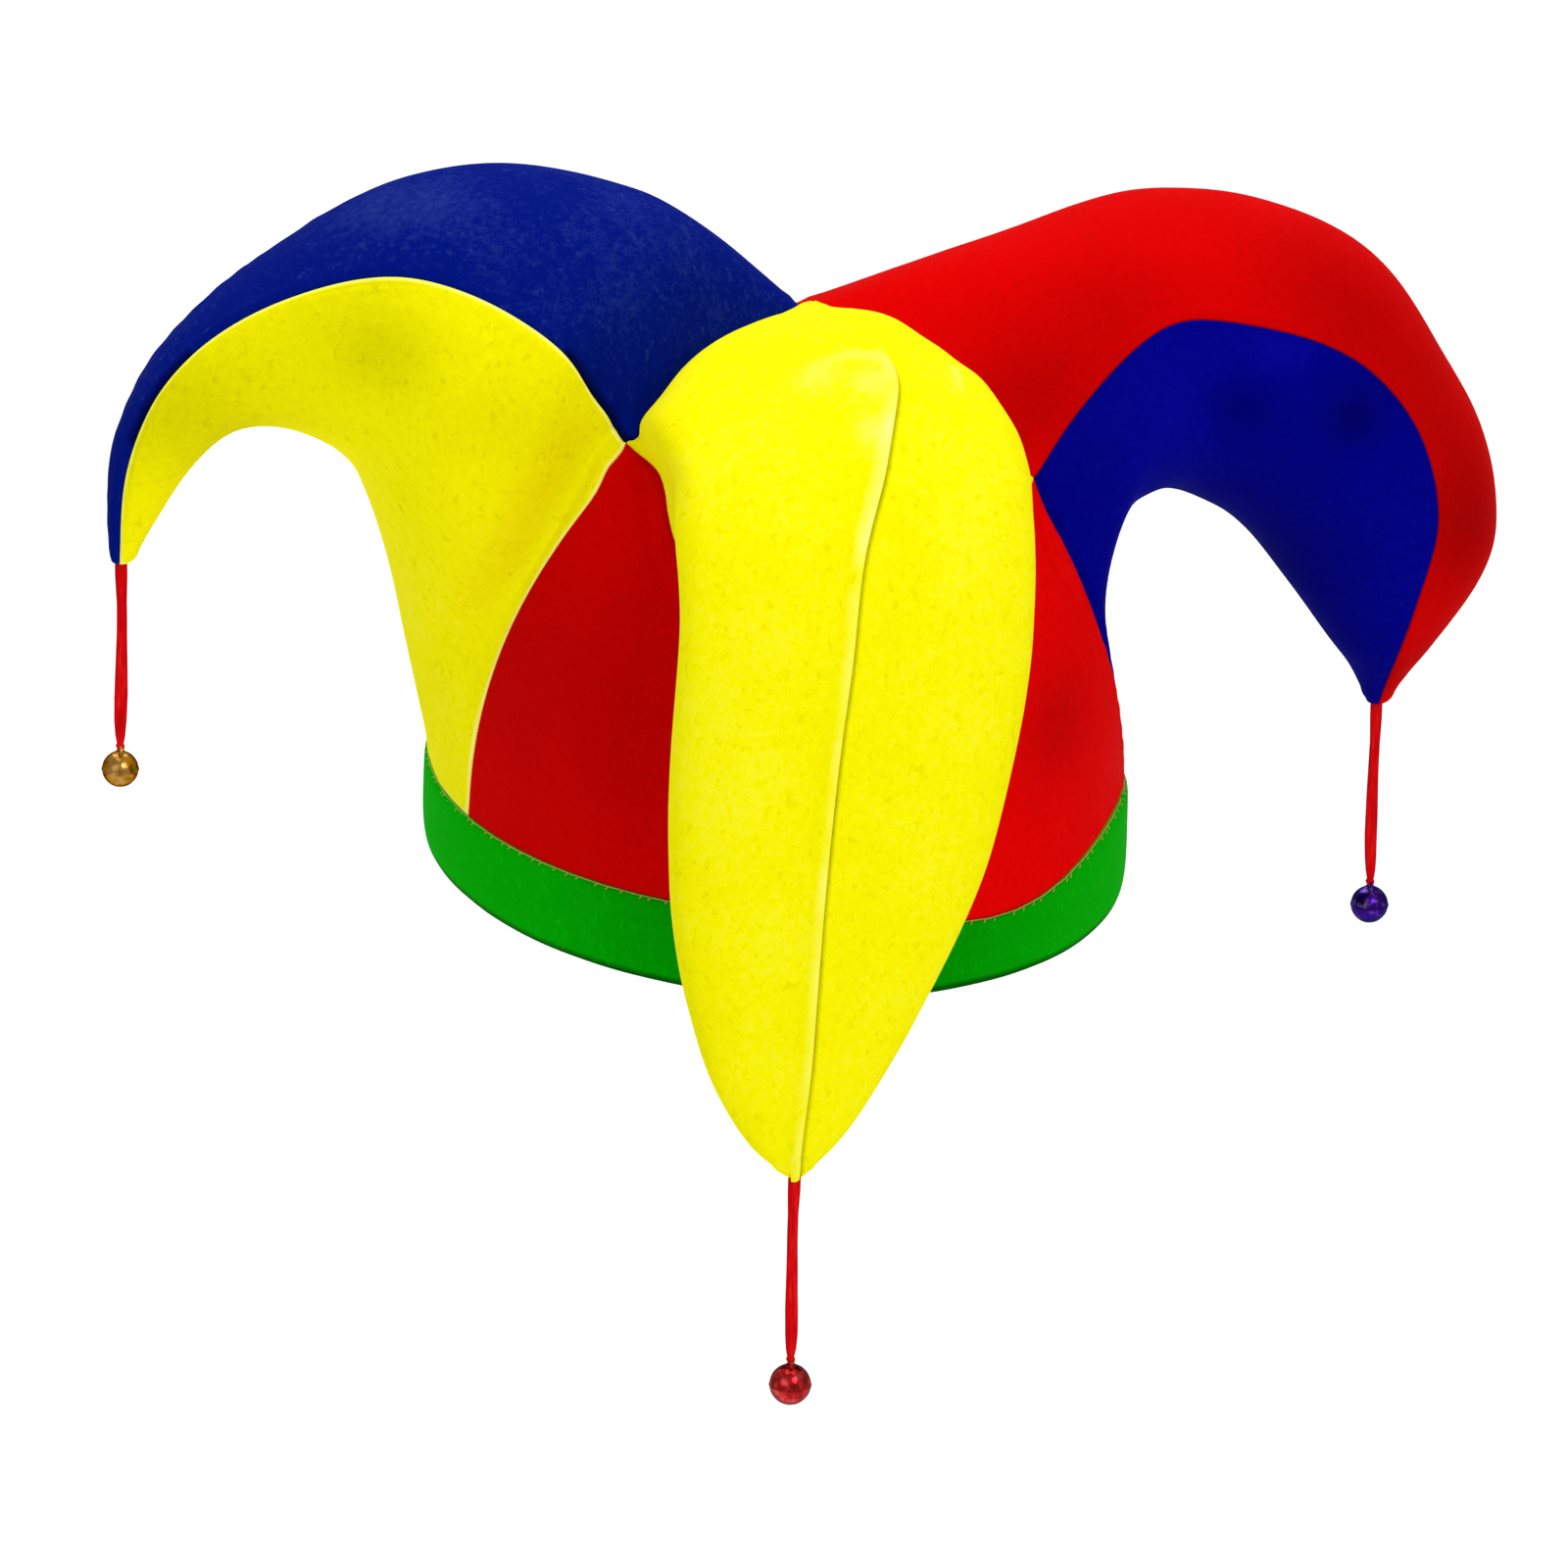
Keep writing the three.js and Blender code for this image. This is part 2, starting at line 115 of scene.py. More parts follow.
# The front horn's ridge, where its left half laps over the right one. Near the crown both lie flat.
LAP_ROWS = (345, 400)  # rows of the photograph between which the lap begins
LAP_FADE_ROWS = (470, 760)  # rows between which the painted highlight on its crest narrows and fades
LAP_FADE = 0.5
LAP = 0.9 * MM
LAP_RISE = 0.8 * MM
LAP_SINK = 0.5 * MM
LAP_SPREAD = 2.2 * MM
LAP_HIGHLIGHT_REACH = 3.4 * MM  # the crest has a painted highlight, in patches, and the felt beside it a painted shadow
LAP_MATE = 1.5 * MM  # the halves' borders lie closer than this
LAP_LOW_REACH = 1.9 * MM
LAP_SHADOW = 1.0
LAP_SHADOW_REACH = 2 * MM
PATCH = 11 * MM  # size of the painted highlight's patches, their mean strength, and its swing at the crest and at folds
PATCH_MEAN = 0.7
LAP_SWING = 0.9
FOLD_SWING = 0.6
FLAT_SINK = 1.2 * MM
FLAT_SPREAD = 8 * MM
FLAT_ROLL = 0.05 * MM

# Seams that run otherwise than the solids': the left front gusset's peak, the blue tip above it, and the
# front horn's ridge and right shoulder. The cloth on both sides of them is drawn over, so many millimetres to
# the right and up in the picture. Reaches are in pixels.
PULL_DEPTH = 10 * MM  # the pulls die away over this depth behind the hat's middle
PULLS = [
    dict(pixel=(663, 502), way=(2.75, 3.5), reach=36),
    dict(pixel=(627, 478), way=(-2.1, 0.6), reach=24),
    dict(pixel=(646, 460), way=(-1.5, 0.9), reach=10),
    dict(pixel=(668, 430), way=(-2.6, 0), reach=24),
    dict(pixel=(616, 430), way=(1.7, 0), reach=24),
    dict(pixel=(911, 380), way=(0.9, 0), reach=35),
    dict(pixel=(911, 440), way=(-1.5, 0), reach=50),
    dict(pixel=(895, 520), way=(-1.6, 0), reach=66),
    dict(pixel=(882, 590), way=(-2.0, 0), reach=78),
    dict(pixel=(948, 341), way=(-1.4, -2.4), reach=36),
    dict(pixel=(981, 365), way=(-1.0, -1.2), reach=25),
    dict(pixel=(1036, 447), way=(1.6, 0.5), reach=38),
    dict(pixel=(1050, 491), way=(0.9, 0.8), reach=26),
]


def new_object(name, data):
    """A new object of the scene with this mesh, light or camera."""
    thing = bpy.data.objects.new(name, data)
    bpy.context.scene.collection.objects.link(thing)
    return thing


def make_camera():
    """The photograph's camera."""
    turns = ((CAMERA_AZIMUTH, "Z"), (90 - CAMERA_ELEVATION, "X"), (CAMERA_ROLL, "Z"))
    swing, tilt, roll = (Matrix.Rotation(math.radians(angle), 4, axis) for angle, axis in turns)
    metres_per_pixel = VIEW_WIDTH / PHOTO_SIDE
    across = (PHOTO_SIDE / 2 - ORIGIN_PIXEL[0]) * metres_per_pixel
    upward = (ORIGIN_PIXEL[1] - PHOTO_SIDE / 2) * metres_per_pixel
    data = bpy.data.cameras.new("camera")
    data.sensor_width = SENSOR_WIDTH
    data.lens = SENSOR_WIDTH * CAMERA_DISTANCE / VIEW_WIDTH
    data.clip_start, data.clip_end = 0.1, 100
    camera = new_object("camera", data)
    camera.matrix_world = swing @ tilt @ roll @ Matrix.Translation((across, upward, CAMERA_DISTANCE))
    bpy.context.scene.camera = camera
    return camera


camera = make_camera()
TOWARDS_CAMERA = np.array(camera.matrix_world.to_3x3().col[2])


def photo_ray(pixel):
    """Start and direction of the line of sight through a pixel of the photograph."""
    across, down = ((p / PHOTO_SIDE - 0.5) * VIEW_WIDTH / CAMERA_DISTANCE for p in pixel)
    direction = camera.matrix_world.to_3x3() @ Vector((across, -down, -1))
    return camera.matrix_world.translation, direction.normalized()


def pixel_of(point):
    """The pixel of the photograph in which a point shows."""
    seen = camera.matrix_world.inverted() @ Vector(point)
    scale = PHOTO_SIDE * CAMERA_DISTANCE / VIEW_WIDTH / -seen.z
    return PHOTO_SIDE / 2 + seen.x * scale, PHOTO_SIDE / 2 - seen.y * scale


def link_mesh(name, points, faces):
    mesh = bpy.data.meshes.new(name)
    mesh.from_pydata([tuple(p) for p in points], [], [tuple(f) for f in faces])
    mesh.validate()
    return new_object(name, mesh)


def add_tones(mesh, name, values, border=()):
    """Keeps a tone for each of a mesh's first points. The rings of its rolled edge take the border's tones,
    and what lies between has 0."""
    rings = np.tile(values[list(border)], ROLL_STEPS)
    between = np.zeros(len(mesh.vertices) - len(values) - len(rings))
    tones = np.concatenate([values, between, rings])
    mesh.attributes.new(name, "FLOAT", "POINT").data.foreach_set("value", tones)


SHARP_EDGE = 55  # degrees; a sharper edge isn't shaded smooth


def dress(piece, material, slot, *nodes):
    """Gives a piece its material, and has it stand for its solids."""
    piece.data.materials.append(material)
    piece.data.shade_smooth()
    piece.data.set_sharp_from_angle(angle=math.radians(SHARP_EDGE))
    if nodes:
        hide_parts(*nodes)
    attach(piece, "root")
    return piece


# Materials


NAP = 0.10  # how strongly the felt's nap, its tufts and slow changes of tone show
TUFTS = 0.10
CLOUDS = 0.10


class Nodes:
    """A new material's node tree, with short ways to add nodes to it."""

    def __init__(self, name):
        self.material = bpy.data.materials.new(name)
        self.material.use_nodes = True
        self.tree = self.material.node_tree
        self.shader = self.tree.nodes["Principled BSDF"]

    def add(self, kind, **settings):
        node = self.tree.nodes.new(kind)
        for key, value in settings.items():
            setattr(node, key, value)
        return node

    def feed(self, socket, value):
        """Sets an input to a constant, or links it to another node's output."""
        if isinstance(value, bpy.types.NodeSocket):
            self.tree.links.new(value, socket)
        else:
            socket.default_value = value

    def fill(self, node, **inputs):
        """Feeds a node's inputs. Their names have _ for a space."""
        for key, value in inputs.items():
            self.feed(node.inputs[key.replace("_", " ")], value)

    def shade(self, **inputs):
        """Feeds the shader, and gives the finished material."""
        self.fill(self.shader, **inputs)
        return self.material

    def place(self):
        return self.add("ShaderNodeTexCoord").outputs["Object"]

    def stretched(self, source, scale):
        mapping = self.add("ShaderNodeMapping")
        self.fill(mapping, Vector=source, Scale=scale)
        return mapping.outputs["Vector"]

    def noise(self, source, scale, detail=2, roughness=0.5, distortion=0):
        node = self.add("ShaderNodeTexNoise")
        self.fill(node, Vector=source, Scale=scale, Detail=detail, Roughness=roughness, Distortion=distortion)
        return node.outputs["Fac"]

    def ranged(self, source, low, high, to_low=0.0, to_high=1.0):
        node = self.add("ShaderNodeMapRange", clamp=True)
        self.fill(node, Value=source, From_Min=low, From_Max=high, To_Min=to_low, To_Max=to_high)
        return node.outputs["Result"]

    def plus(self, tone, source, share):
        """A tone with a share of another one added."""
        node = self.add("ShaderNodeMath", operation="MULTIPLY_ADD")
        for socket, value in zip(node.inputs, (source, share, tone)):
            self.feed(socket, value)
        return node.outputs["Value"]

    def kept(self, name):
        """A tone that a mesh keeps for each of its points."""
        return self.add("ShaderNodeAttribute", attribute_name=name).outputs["Fac"]

    def ramp(self, source, stops):
        node = self.add("ShaderNodeValToRGB")
        elements = node.color_ramp.elements
        for _ in stops[2:]:
            elements.new(0.5)
        for element, (position, colour) in zip(elements, stops):
            element.position = position
            element.color = (*colour, 1)
        self.fill(node, Fac=source)
        return node.outputs["Color"]

    def bump(self, height, strength, distance, **below):
        node = self.add("ShaderNodeBump")
        self.fill(node, Height=height, Strength=strength, Distance=distance, **below)
        return node.outputs["Normal"]


def scaled(colour, factor):
    return tuple(min(1.0, c * factor) for c in colour)


def blended(colour, other, share):
    return tuple(a + (b - a) * share for a, b in zip(colour, other))


def felt(name, colour, pale, fleck=0.15, edge=0.0):
    """Short-napped felt. Pale is the colour of its loose fibre ends, and also what painted light and painted
    highlights lean to. Fleck says how strongly single tufts show, lighter or, below 0, darker, and edge how
    strong the painted highlight is where the felt turns into a seam, or the painted shade where the seam
    tones are below 0."""
    nodes = Nodes(name)
    place = nodes.place()
    nap = nodes.noise(place, scale=1300, detail=3, roughness=0.6)
    fibres = nodes.noise(nodes.stretched(place, (1, 1, 0.6)), scale=520, distortion=0.5)
    tufts = nodes.noise(place, scale=420, detail=3, roughness=0.55)
    clouds = nodes.noise(place, scale=34)
    flecks = nodes.ranged(fibres, 0.58, 0.76)
    tone = 0.5 - 0.5 * (NAP + TUFTS + CLOUDS)
    for source, share in ((nap, NAP), (tufts, TUFTS), (clouds, CLOUDS), (flecks, fleck)):
        tone = nodes.plus(tone, source, share)
    # Painted highlight along a rolled seam edge, and painted shade where the seam tones are below 0
    painted_seam_strength = nodes.ranged(nodes.kept("seam_distance"), 0.1, 1, edge, 0)
    tone = nodes.plus(tone, painted_seam_strength, nodes.kept("painted_seam_light_shade"))
    # Painted light and shade that the mesh keeps as tones
    tone = nodes.plus(tone, nodes.kept("shade"), 1)
    # Painted shade reaches towards the ramp's dark end, painted light and highlights towards its pale end
    stops = [(0.0, scaled(colour, 0.3)), (0.5, colour), (1.0, blended(colour, pale, 0.85))]
    soft = nodes.bump(tufts, strength=0.12, distance=0.8 * MM)
    return nodes.shade(
        Base_Color=nodes.ramp(tone, stops),
        Normal=nodes.bump(nap, strength=0.25, distance=0.35 * MM, Normal=soft),
        Roughness=nodes.ranged(nap, 0.3, 0.7, 0.9, 1.0),
        Specular_IOR_Level=0.02,
        Sheen_Weight=0.05,
        Sheen_Roughness=0.4,
        Sheen_Tint=(*scaled(blended(colour, pale, 0.3), 1.2), 1),
    )


def satin(name, colour):
    """Woven satin: a fine twill of glossy threads along the ribbon, with the painted shade that the ribbon
    keeps along its edges.
    """
    nodes = Nodes(name)
    place = nodes.place()
    threads = nodes.noise(nodes.stretched(place, (1, 1, 0.06)), scale=2600)
    slubs = nodes.noise(nodes.stretched(place, (1, 1, 0.3)), scale=420, detail=3)
    weft = nodes.add("ShaderNodeTexWave", wave_type="BANDS", bands_direction="Z", wave_profile="SIN")
    nodes.fill(weft, Vector=place, Scale=620, Distortion=0.6)
    # Painted shade along the ribbon's edges
    tone = nodes.kept("shade")
    for source, share in ((threads, 0.6), (slubs, 0.4)):
        tone = nodes.plus(tone, source, share)
    stops = [(0.25, scaled(colour, 0.6)), (0.5, colour), (0.75, blended(colour, (1, 0.05, 0.03), 0.4))]
    weave = nodes.bump(weft.outputs["Fac"], strength=0.25, distance=0.08 * MM)
    return nodes.shade(
        Base_Color=nodes.ramp(tone, stops),
        Normal=nodes.bump(threads, strength=0.4, distance=0.1 * MM, Normal=weave),
        Roughness=nodes.ranged(slubs, 0.3, 0.7, 0.34, 0.5),
        Specular_IOR_Level=0.03,
        Anisotropic=0.5,
    )


def bell_metal(slot, colour, deep, gloss, coat):
    """Lacquered or plated sheet metal, dulled and pitted in places. Deep is its tone in the dull places,
    gloss its least roughness, and coat how much clear lacquer lies on it."""
    nodes = Nodes(f"{slot} metal")
    place = nodes.place()
    tarnish = nodes.noise(place, scale=420, detail=5, roughness=0.62)
    pits = nodes.noise(place, scale=2400, detail=3)
    stops = [(0.32, deep), (0.5, colour), (0.72, blended(colour, (1, 1, 1), 0.12))]
    dents = nodes.bump(tarnish, strength=0.18, distance=0.5 * MM)
    return nodes.shade(
        Base_Color=nodes.ramp(tarnish, stops),
        Normal=nodes.bump(pits, strength=0.12, distance=0.06 * MM, Normal=dents),
        Roughness=nodes.ranged(tarnish, 0.3, 0.7, gloss + 0.16, gloss),
        Metallic=1.0,
        Specular_Tint=(*blended(deep, (0.2, 0.2, 0.2), 0.3), 1),
        Coat_Weight=coat,
        Coat_Roughness=0.04,
    )


def thread(name, colour):
    """Twisted sewing thread."""
    nodes = Nodes(name)
    twist = nodes.noise(nodes.place(), scale=3200)
    stops = [(0.3, scaled(colour, 0.65)), (0.6, colour), (0.8, scaled(colour, 1.15))]
    return nodes.shade(
        Base_Color=nodes.ramp(twist, stops),
        Normal=nodes.bump(twist, strength=0.4, distance=0.1 * MM),
        Roughness=0.6,
        Specular_IOR_Level=0.3,
        Sheen_Weight=0.2,
    )


# Ribbons


RIBBON_POINTS = 25
RIBBON_SIDES = 20
RIBBON_HALF_THICKNESS = 0.62 * MM
RIBBON_SWING = 0.35 * MM
RIBBON_TWIST = 14  # degrees from end to end
RIBBON_CREASE = 0.3 * MM  # depth of the fold along it
RIBBON_PAINTED_EDGE_SHADE = 0.22  # painted shade: how much darker its edges are drawn, where the rounded ribbon turns from the light
RIBBON_RINGS = 96
RIBBON_WAVER = 0.12  # radians that it turns to and fro
RIBBON_WAVER_RATE = 7  # radians of that wave, and half waves of the next, from end to end
RIBBON_BOW = 0.12 * MM  # how far its faces bend to and fro
RIBBON_BOWS = 5
RIBBON_FULLNESS = 0.85  # 1 gives an oval section
RIBBON_FOLD_PLACE = -0.25  # in half widths from the middle, as is the next
RIBBON_FOLD_WIDTH = 0.22
RIBBON_PHASE = 1.7  # radians from one ribbon's swing to the next one's
RIBBON_TOP = 1.5 * MM  # how far the ribbon reaches up into the horn's tip
# Half its width in millimetres, from the horn (share 0) to the bell (share 1)
RIBBON_WIDTHS = dict(
    share=(0, 0.08, 0.22, 0.40, 0.58, 0.74, 0.88, 0.96, 1),
    half=(1.60, 1.60, 1.34, 1.38, 1.58, 1.74, 1.66, 1.36, 1.0),
)
EYE_RADIUS = 1.6 * MM
EYE_WIRE = 0.5 * MM
KNOT_HALF = Vector((1.15, 1.05, 1.25)) * MM
KNOT_STEPS = 12
KNOT_WRINKLE = 0.09
KNOT_FOLDS = 3  # wrinkles round it, and how far these and the knot itself turn on the way down
KNOT_SLANT = 4
KNOT_TWIST = 0.5


def hoop(middle, across, upward, radius, sides):
    """A ring of points round a middle."""
    turns = [2 * math.pi * side / sides for side in range(sides)]
    return [middle + (across * math.cos(turn) + upward * math.sin(turn)) * radius for turn in turns]


def tube(rings, closed=False):
    """Points and faces of a tube through rings of points, which is capped or closed into a loop."""
    count, sides = len(rings), len(rings[0])
    points = [p for ring in rings for p in ring]
    faces = []
    for row in range(count if closed else count - 1):
        a, b = row * sides, (row + 1) % count * sides
        for side in range(sides):
            after = (side + 1) % sides
            faces.append((a + side, b + side, b + after, a + after))
    if not closed:
        faces.append(tuple(range(sides)))
        faces.append(tuple(len(points) - 1 - side for side in range(sides)))
    return points, faces


def torus(middle, axis, radius, wire, steps=28, sides=12):
    """Points and faces of a ring of wire."""
    across = axis.orthogonal().normalized()
    outs = hoop(Vector(), across, axis.cross(across), 1, steps)
    return tube([hoop(middle + out * radius, out, axis, wire, sides) for out in outs], closed=True)


def joined(*parts):
    """One list of points and one of faces from several."""
    points, faces = [], []
    for more_points, more_faces in parts:
        start = len(points)
        points += list(more_points)
        faces += [tuple(start + i for i in face) for face in more_faces]
    return points, faces


def knot(middle):
    """The ribbon's end, tied round the wire of a bell's eye."""
    rings = []
    for step in range(1, KNOT_STEPS):
        turn = math.pi * step / KNOT_STEPS
        ring = []
        for side in range(RIBBON_SIDES):
            angle = 2 * math.pi * side / RIBBON_SIDES + KNOT_TWIST * turn
            wrinkle = 1 + KNOT_WRINKLE * math.sin(KNOT_FOLDS * angle + KNOT_SLANT * turn)
            out = Vector((math.cos(angle) * KNOT_HALF.x, math.sin(angle) * KNOT_HALF.y, 0))
            ring.append(middle + out * math.sin(turn) * wrinkle + UP * KNOT_HALF.z * math.cos(turn))
        rings.append(ring)
    return tube(rings)


def make_ribbon(name, material, phase):
    """A ribbon from a horn's tip to the eye of its bell, with its path and length."""
    low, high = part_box(f"{name}_ribbon")
    bell_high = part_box(f"{name}_bell")[1]
    middle = (low + high) / 2
    length = high.z - low.z
    shares = [i / (RIBBON_POINTS - 1) for i in range(RIBBON_POINTS)]
    path = []
    for share in shares:
        swing = RIBBON_SWING * math.sin(math.pi * share) * math.cos(0.5 * math.pi * share + phase)
        path.append(Vector((middle.x + swing, middle.y, high.z - length * share)))
    rings, shades = [], []
    for step in range(RIBBON_RINGS + 1):
        share = step / RIBBON_RINGS
        half = float(np.interp(share, RIBBON_WIDTHS["share"], RIBBON_WIDTHS["half"])) * MM
        spot = share * (RIBBON_POINTS - 1)
        index = min(int(spot), RIBBON_POINTS - 2)
        centre = path[index].lerp(path[index + 1], spot - index)
        if share == 0:
            centre = centre + UP * RIBBON_TOP
        turn = math.radians(RIBBON_TWIST) * (share - 0.5)
        turn += RIBBON_WAVER * math.sin(RIBBON_WAVER_RATE * share + phase)
        wide = Vector((math.cos(turn), math.sin(turn), 0))
        thin = UP.cross(wide)
        bow = RIBBON_BOW * math.sin(RIBBON_BOWS * math.pi * share + phase)
        ring = []
        for side in range(RIBBON_SIDES):
            angle = 2 * math.pi * side / RIBBON_SIDES
            across = math.copysign(abs(math.cos(angle)) ** RIBBON_FULLNESS, math.cos(angle))
            fold = math.exp(-(((across - RIBBON_FOLD_PLACE) / RIBBON_FOLD_WIDTH) ** 2))
            bulge = math.sin(angle) * RIBBON_HALF_THICKNESS + bow * math.cos(2 * angle)
            bulge -= RIBBON_CREASE * math.sin(angle) * fold
            ring.append(centre + wide * half * across + thin * bulge)
            # Painted shade towards the edges
            shades.append(-RIBBON_PAINTED_EDGE_SHADE * across**4)
        rings.append(ring)
    eye_wire = Vector((middle.x, middle.y, bell_high.z - EYE_WIRE))
    ribbon = link_mesh(f"{name}_satin_ribbon", *joined(tube(rings), knot(eye_wire)))
    add_tones(ribbon.data, "shade", np.array(shades))
    dress(ribbon, material, "red_satin", f"{name}_ribbon")
    return ribbon, path, length


# Bells


BELL_WALL = 0.55 * MM
BELL_BEAD = 0.16 * MM  # the rolled joint round the waist stands out this far
BELL_BEAD_HALF = 0.42 * MM
BELL_SLOT = 1.1 * MM
BELL_SLOT_REACH = 0.74  # of the radius, from the axis to the round hole at either end of the slot
BELL_HOLE_RADIUS = 1.15 * MM
BELL_HOLE_SLANT = 38  # degrees from straight down
SLOT_DROP = 1.25  # radii from the bell's middle down to that of the slot's cutter
HOLE_DROP = 1.5
HAMMERED = 0.05 * MM  # depth and size of its dimples
DIMPLE = 2.1 * MM
COLLAR_RADIUS = 1.15 * MM  # the ring of solder at the foot of the eye
COLLAR_WIRE = 0.28 * MM
COLLAR_SINK = 0.12 * MM


def ball(radius, beaded):
    """A ball as a mesh, with the joint round its waist."""
    shell = bmesh.new()
    bmesh.ops.create_uvsphere(shell, u_segments=72, v_segments=56, radius=radius)
    for vert in shell.verts:
        if beaded:
            bead = max(0.0, 1 - (vert.co.z / BELL_BEAD_HALF) ** 2)
            dimple = noise.noise(vert.co / DIMPLE) * HAMMERED
            vert.co *= 1 + (BELL_BEAD * bead + dimple * (1 - bead)) / radius
    return shell


def evaluated_mesh(piece):
    depsgraph = bpy.context.evaluated_depsgraph_get()
    depsgraph.update()
    return bpy.data.meshes.new_from_object(piece.evaluated_get(depsgraph))


def cut(piece, cutter):
    """Cuts one mesh out of another, and drops the cutter."""
    modifier = piece.modifiers.new("cut", "BOOLEAN")
    modifier.object = cutter
    modifier.operation = "DIFFERENCE"
    modifier.solver = "EXACT"
    result = evaluated_mesh(piece)
    piece.modifiers.clear()
    piece.data = result
    bpy.data.objects.remove(cutter)


def mesh_object(name, built):
    mesh = bpy.data.meshes.new(name)
    built.to_mesh(mesh)
    built.free()
    return new_object(name, mesh)


def slot_cutter(radius):
    """The slot across a bell's underside, with a round hole at either end."""
    slot = bmesh.new()
    bmesh.ops.create_cube(slot, size=1)
    bmesh.ops.scale(slot, vec=(2 * BELL_SLOT_REACH * radius, BELL_SLOT, 2 * radius), verts=slot.verts)
    bmesh.ops.translate(slot, vec=(0, 0, -SLOT_DROP * radius), verts=slot.verts)
    return mesh_object("slot_cutter", slot)


def hole_cutter(radius, side):
    hole = bmesh.new()
    bmesh.ops.create_cone(
        hole, cap_ends=True, segments=28, radius1=BELL_HOLE_RADIUS, radius2=BELL_HOLE_RADIUS, depth=2 * radius
    )
    slant = Matrix.Rotation(math.radians(-BELL_HOLE_SLANT * side), 4, "Y")
    bmesh.ops.translate(hole, vec=(0, 0, -HOLE_DROP * radius), verts=hole.verts)
    bmesh.ops.transform(hole, matrix=slant, verts=hole.verts)
    return mesh_object("hole_cutter", hole)


def make_bell(name, material, slot):
    low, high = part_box(name)
    radius = (high.x - low.x) / 2
    middle = Vector(((low.x + high.x) / 2, (low.y + high.y) / 2, low.z + radius))
    bell = mesh_object(f"{name}_jingle", ball(radius, True))
    cut(bell, mesh_object("hollow_cutter", ball(radius - BELL_WALL, False)))
    cut(bell, slot_cutter(radius))
    for side in (-1, 1):
        cut(bell, hole_cutter(radius, side))
    eye = torus(UP * radius, Vector((1, 0, 0)), EYE_RADIUS, EYE_WIRE)
    collar = torus(UP * (radius - COLLAR_SINK), UP, COLLAR_RADIUS, COLLAR_WIRE)
    fitting = link_mesh("eye", *joined(eye, collar))
    merged = bmesh.new()
    merged.from_mesh(bell.data)
    merged.from_mesh(fitting.data)
    bpy.data.objects.remove(fitting)
    bmesh.ops.translate(merged, vec=middle, verts=merged.verts)
    merged.to_mesh(bell.data)
    merged.free()
    return dress(bell, material, slot, name)


RED_SATIN = (0.61, 0.0, 0.002)
satin_red = satin("red satin", RED_SATIN)
BELLS = {
    "left": dict(slot="gold_bell", colour=(0.43, 0.21, 0.03), deep=(0.15, 0.065, 0.006), gloss=0.16, coat=0),
    "right": dict(slot="purple_bell", colour=(0.036, 0, 0.2), deep=(0.02, 0, 0.13), gloss=0.2, coat=0.1),
    "front": dict(slot="red_bell", colour=(0.5, 0.004, 0.006), deep=(0.1, 0, 0.002), gloss=0.12, coat=0.25),
}
for index, (side, finish) in enumerate(BELLS.items()):
    bell = make_bell(f"{side}_bell", bell_metal(**finish), finish["slot"])
    ribbon, path, length = make_ribbon(side, satin_red, RIBBON_PHASE * index)


# Felt panels


# Each panel's felt and, in millimetres, the width and length of the piece that it was cut from and its own
# area
CLOTH = {
    "gusset_front_left": dict(felt="red", flat=(100, 130), area=7600),
    "gusset_front_right": dict(felt="red", flat=(90, 120), area=6500),
    "gusset_back": dict(felt="red", flat=(190, 140), area=9200),
    "left_horn_upper": dict(felt="blue", flat=(150, 280), area=16500),
    "left_horn_lower": dict(felt="yellow", flat=(200, 280), area=28300),
    "right_horn_upper": dict(felt="red", flat=(160, 295), area=24200),
    "right_horn_lower": dict(felt="navy", flat=(200, 280), area=29500),
    "front_horn_left": dict(felt="yellow", flat=(160, 312), area=23350),
    "front_horn_right": dict(felt="yellow", flat=(160, 312), area=23400),
}


def welded(name):
    """A solid as a bmesh whose faces share their vertices."""
    solid = bmesh.new()
    solid.from_mesh(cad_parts[name].data)
    bmesh.ops.remove_doubles(solid, verts=solid.verts, dist=WELD)
    solid.normal_update()
    return solid


def crosses_wall(edge):
    """Whether an edge of a felt solid runs through its wall, from the outer skin to the inner one. It is
    then as long as the wall is thick or, where the wall thins out, faces away from both skins."""
    length = edge.calc_length()
    if abs(length - FELT_WALL) < WALL_ERROR:
        return True
    if length > FELT_WALL:
        return False
    for vert in edge.verts:
        away = (vert.co - edge.other_vert(vert).co).normalized()
        if max(face.normal.dot(away) for face in vert.link_faces if edge not in face.edges) < WALL_FACING:
            return False
    return True


def face_groups(mesh):
    """The joined groups of faces of a bmesh, largest area first."""
    left, groups = set(mesh.faces), []
    for seed in mesh.faces:
        if seed not in left:
            continue
        left.discard(seed)
        group, front = [seed], [seed]
        while front:
            beside = {other for edge in front.pop().edges for other in edge.link_faces} & left
            left -= beside
            group += beside
            front += beside
        groups.append(group)
    return sorted(groups, key=lambda group: -sum(face.calc_area() for face in group))


def stretch(face):
    """How much longer the longest side of a triangle is than its next."""
    sides = sorted(edge.calc_length() for edge in face.edges)
    return sides[2] / sides[1]


def join_squares(mesh):
    """Joins the triangles of a grid in pairs, across the diagonals that its squares are cut along."""
    lone = {}  # the corner of each triangle that its diagonal doesn't touch
    single = [vert for vert in mesh.verts if len(vert.link_faces) == 1]
    if single:
        lone[single[0].link_faces[0]] = single[0]
    else:
        first = max(mesh.faces, key=stretch)
        longest = max(first.edges, key=lambda edge: edge.calc_length())
        lone[first] = next(vert for vert in first.verts if vert not in longest.verts)
    front = list(lone)
    for face in front:
        for edge in face.edges:
            for other in edge.link_faces:
                if other in lone:
                    continue
                if lone[face] in edge.verts:
                    lone[other] = edge.other_vert(lone[face])
                else:
                    lone[other] = next(vert for vert in other.verts if vert not in edge.verts)
                front.append(other)
    diagonals = [
        edge
        for edge in mesh.edges
        if len(edge.link_faces) == 2 and all(lone[face] not in edge.verts for face in edge.link_faces)
    ]
    bmesh.ops.dissolve_edges(mesh, edges=diagonals, use_verts=False)


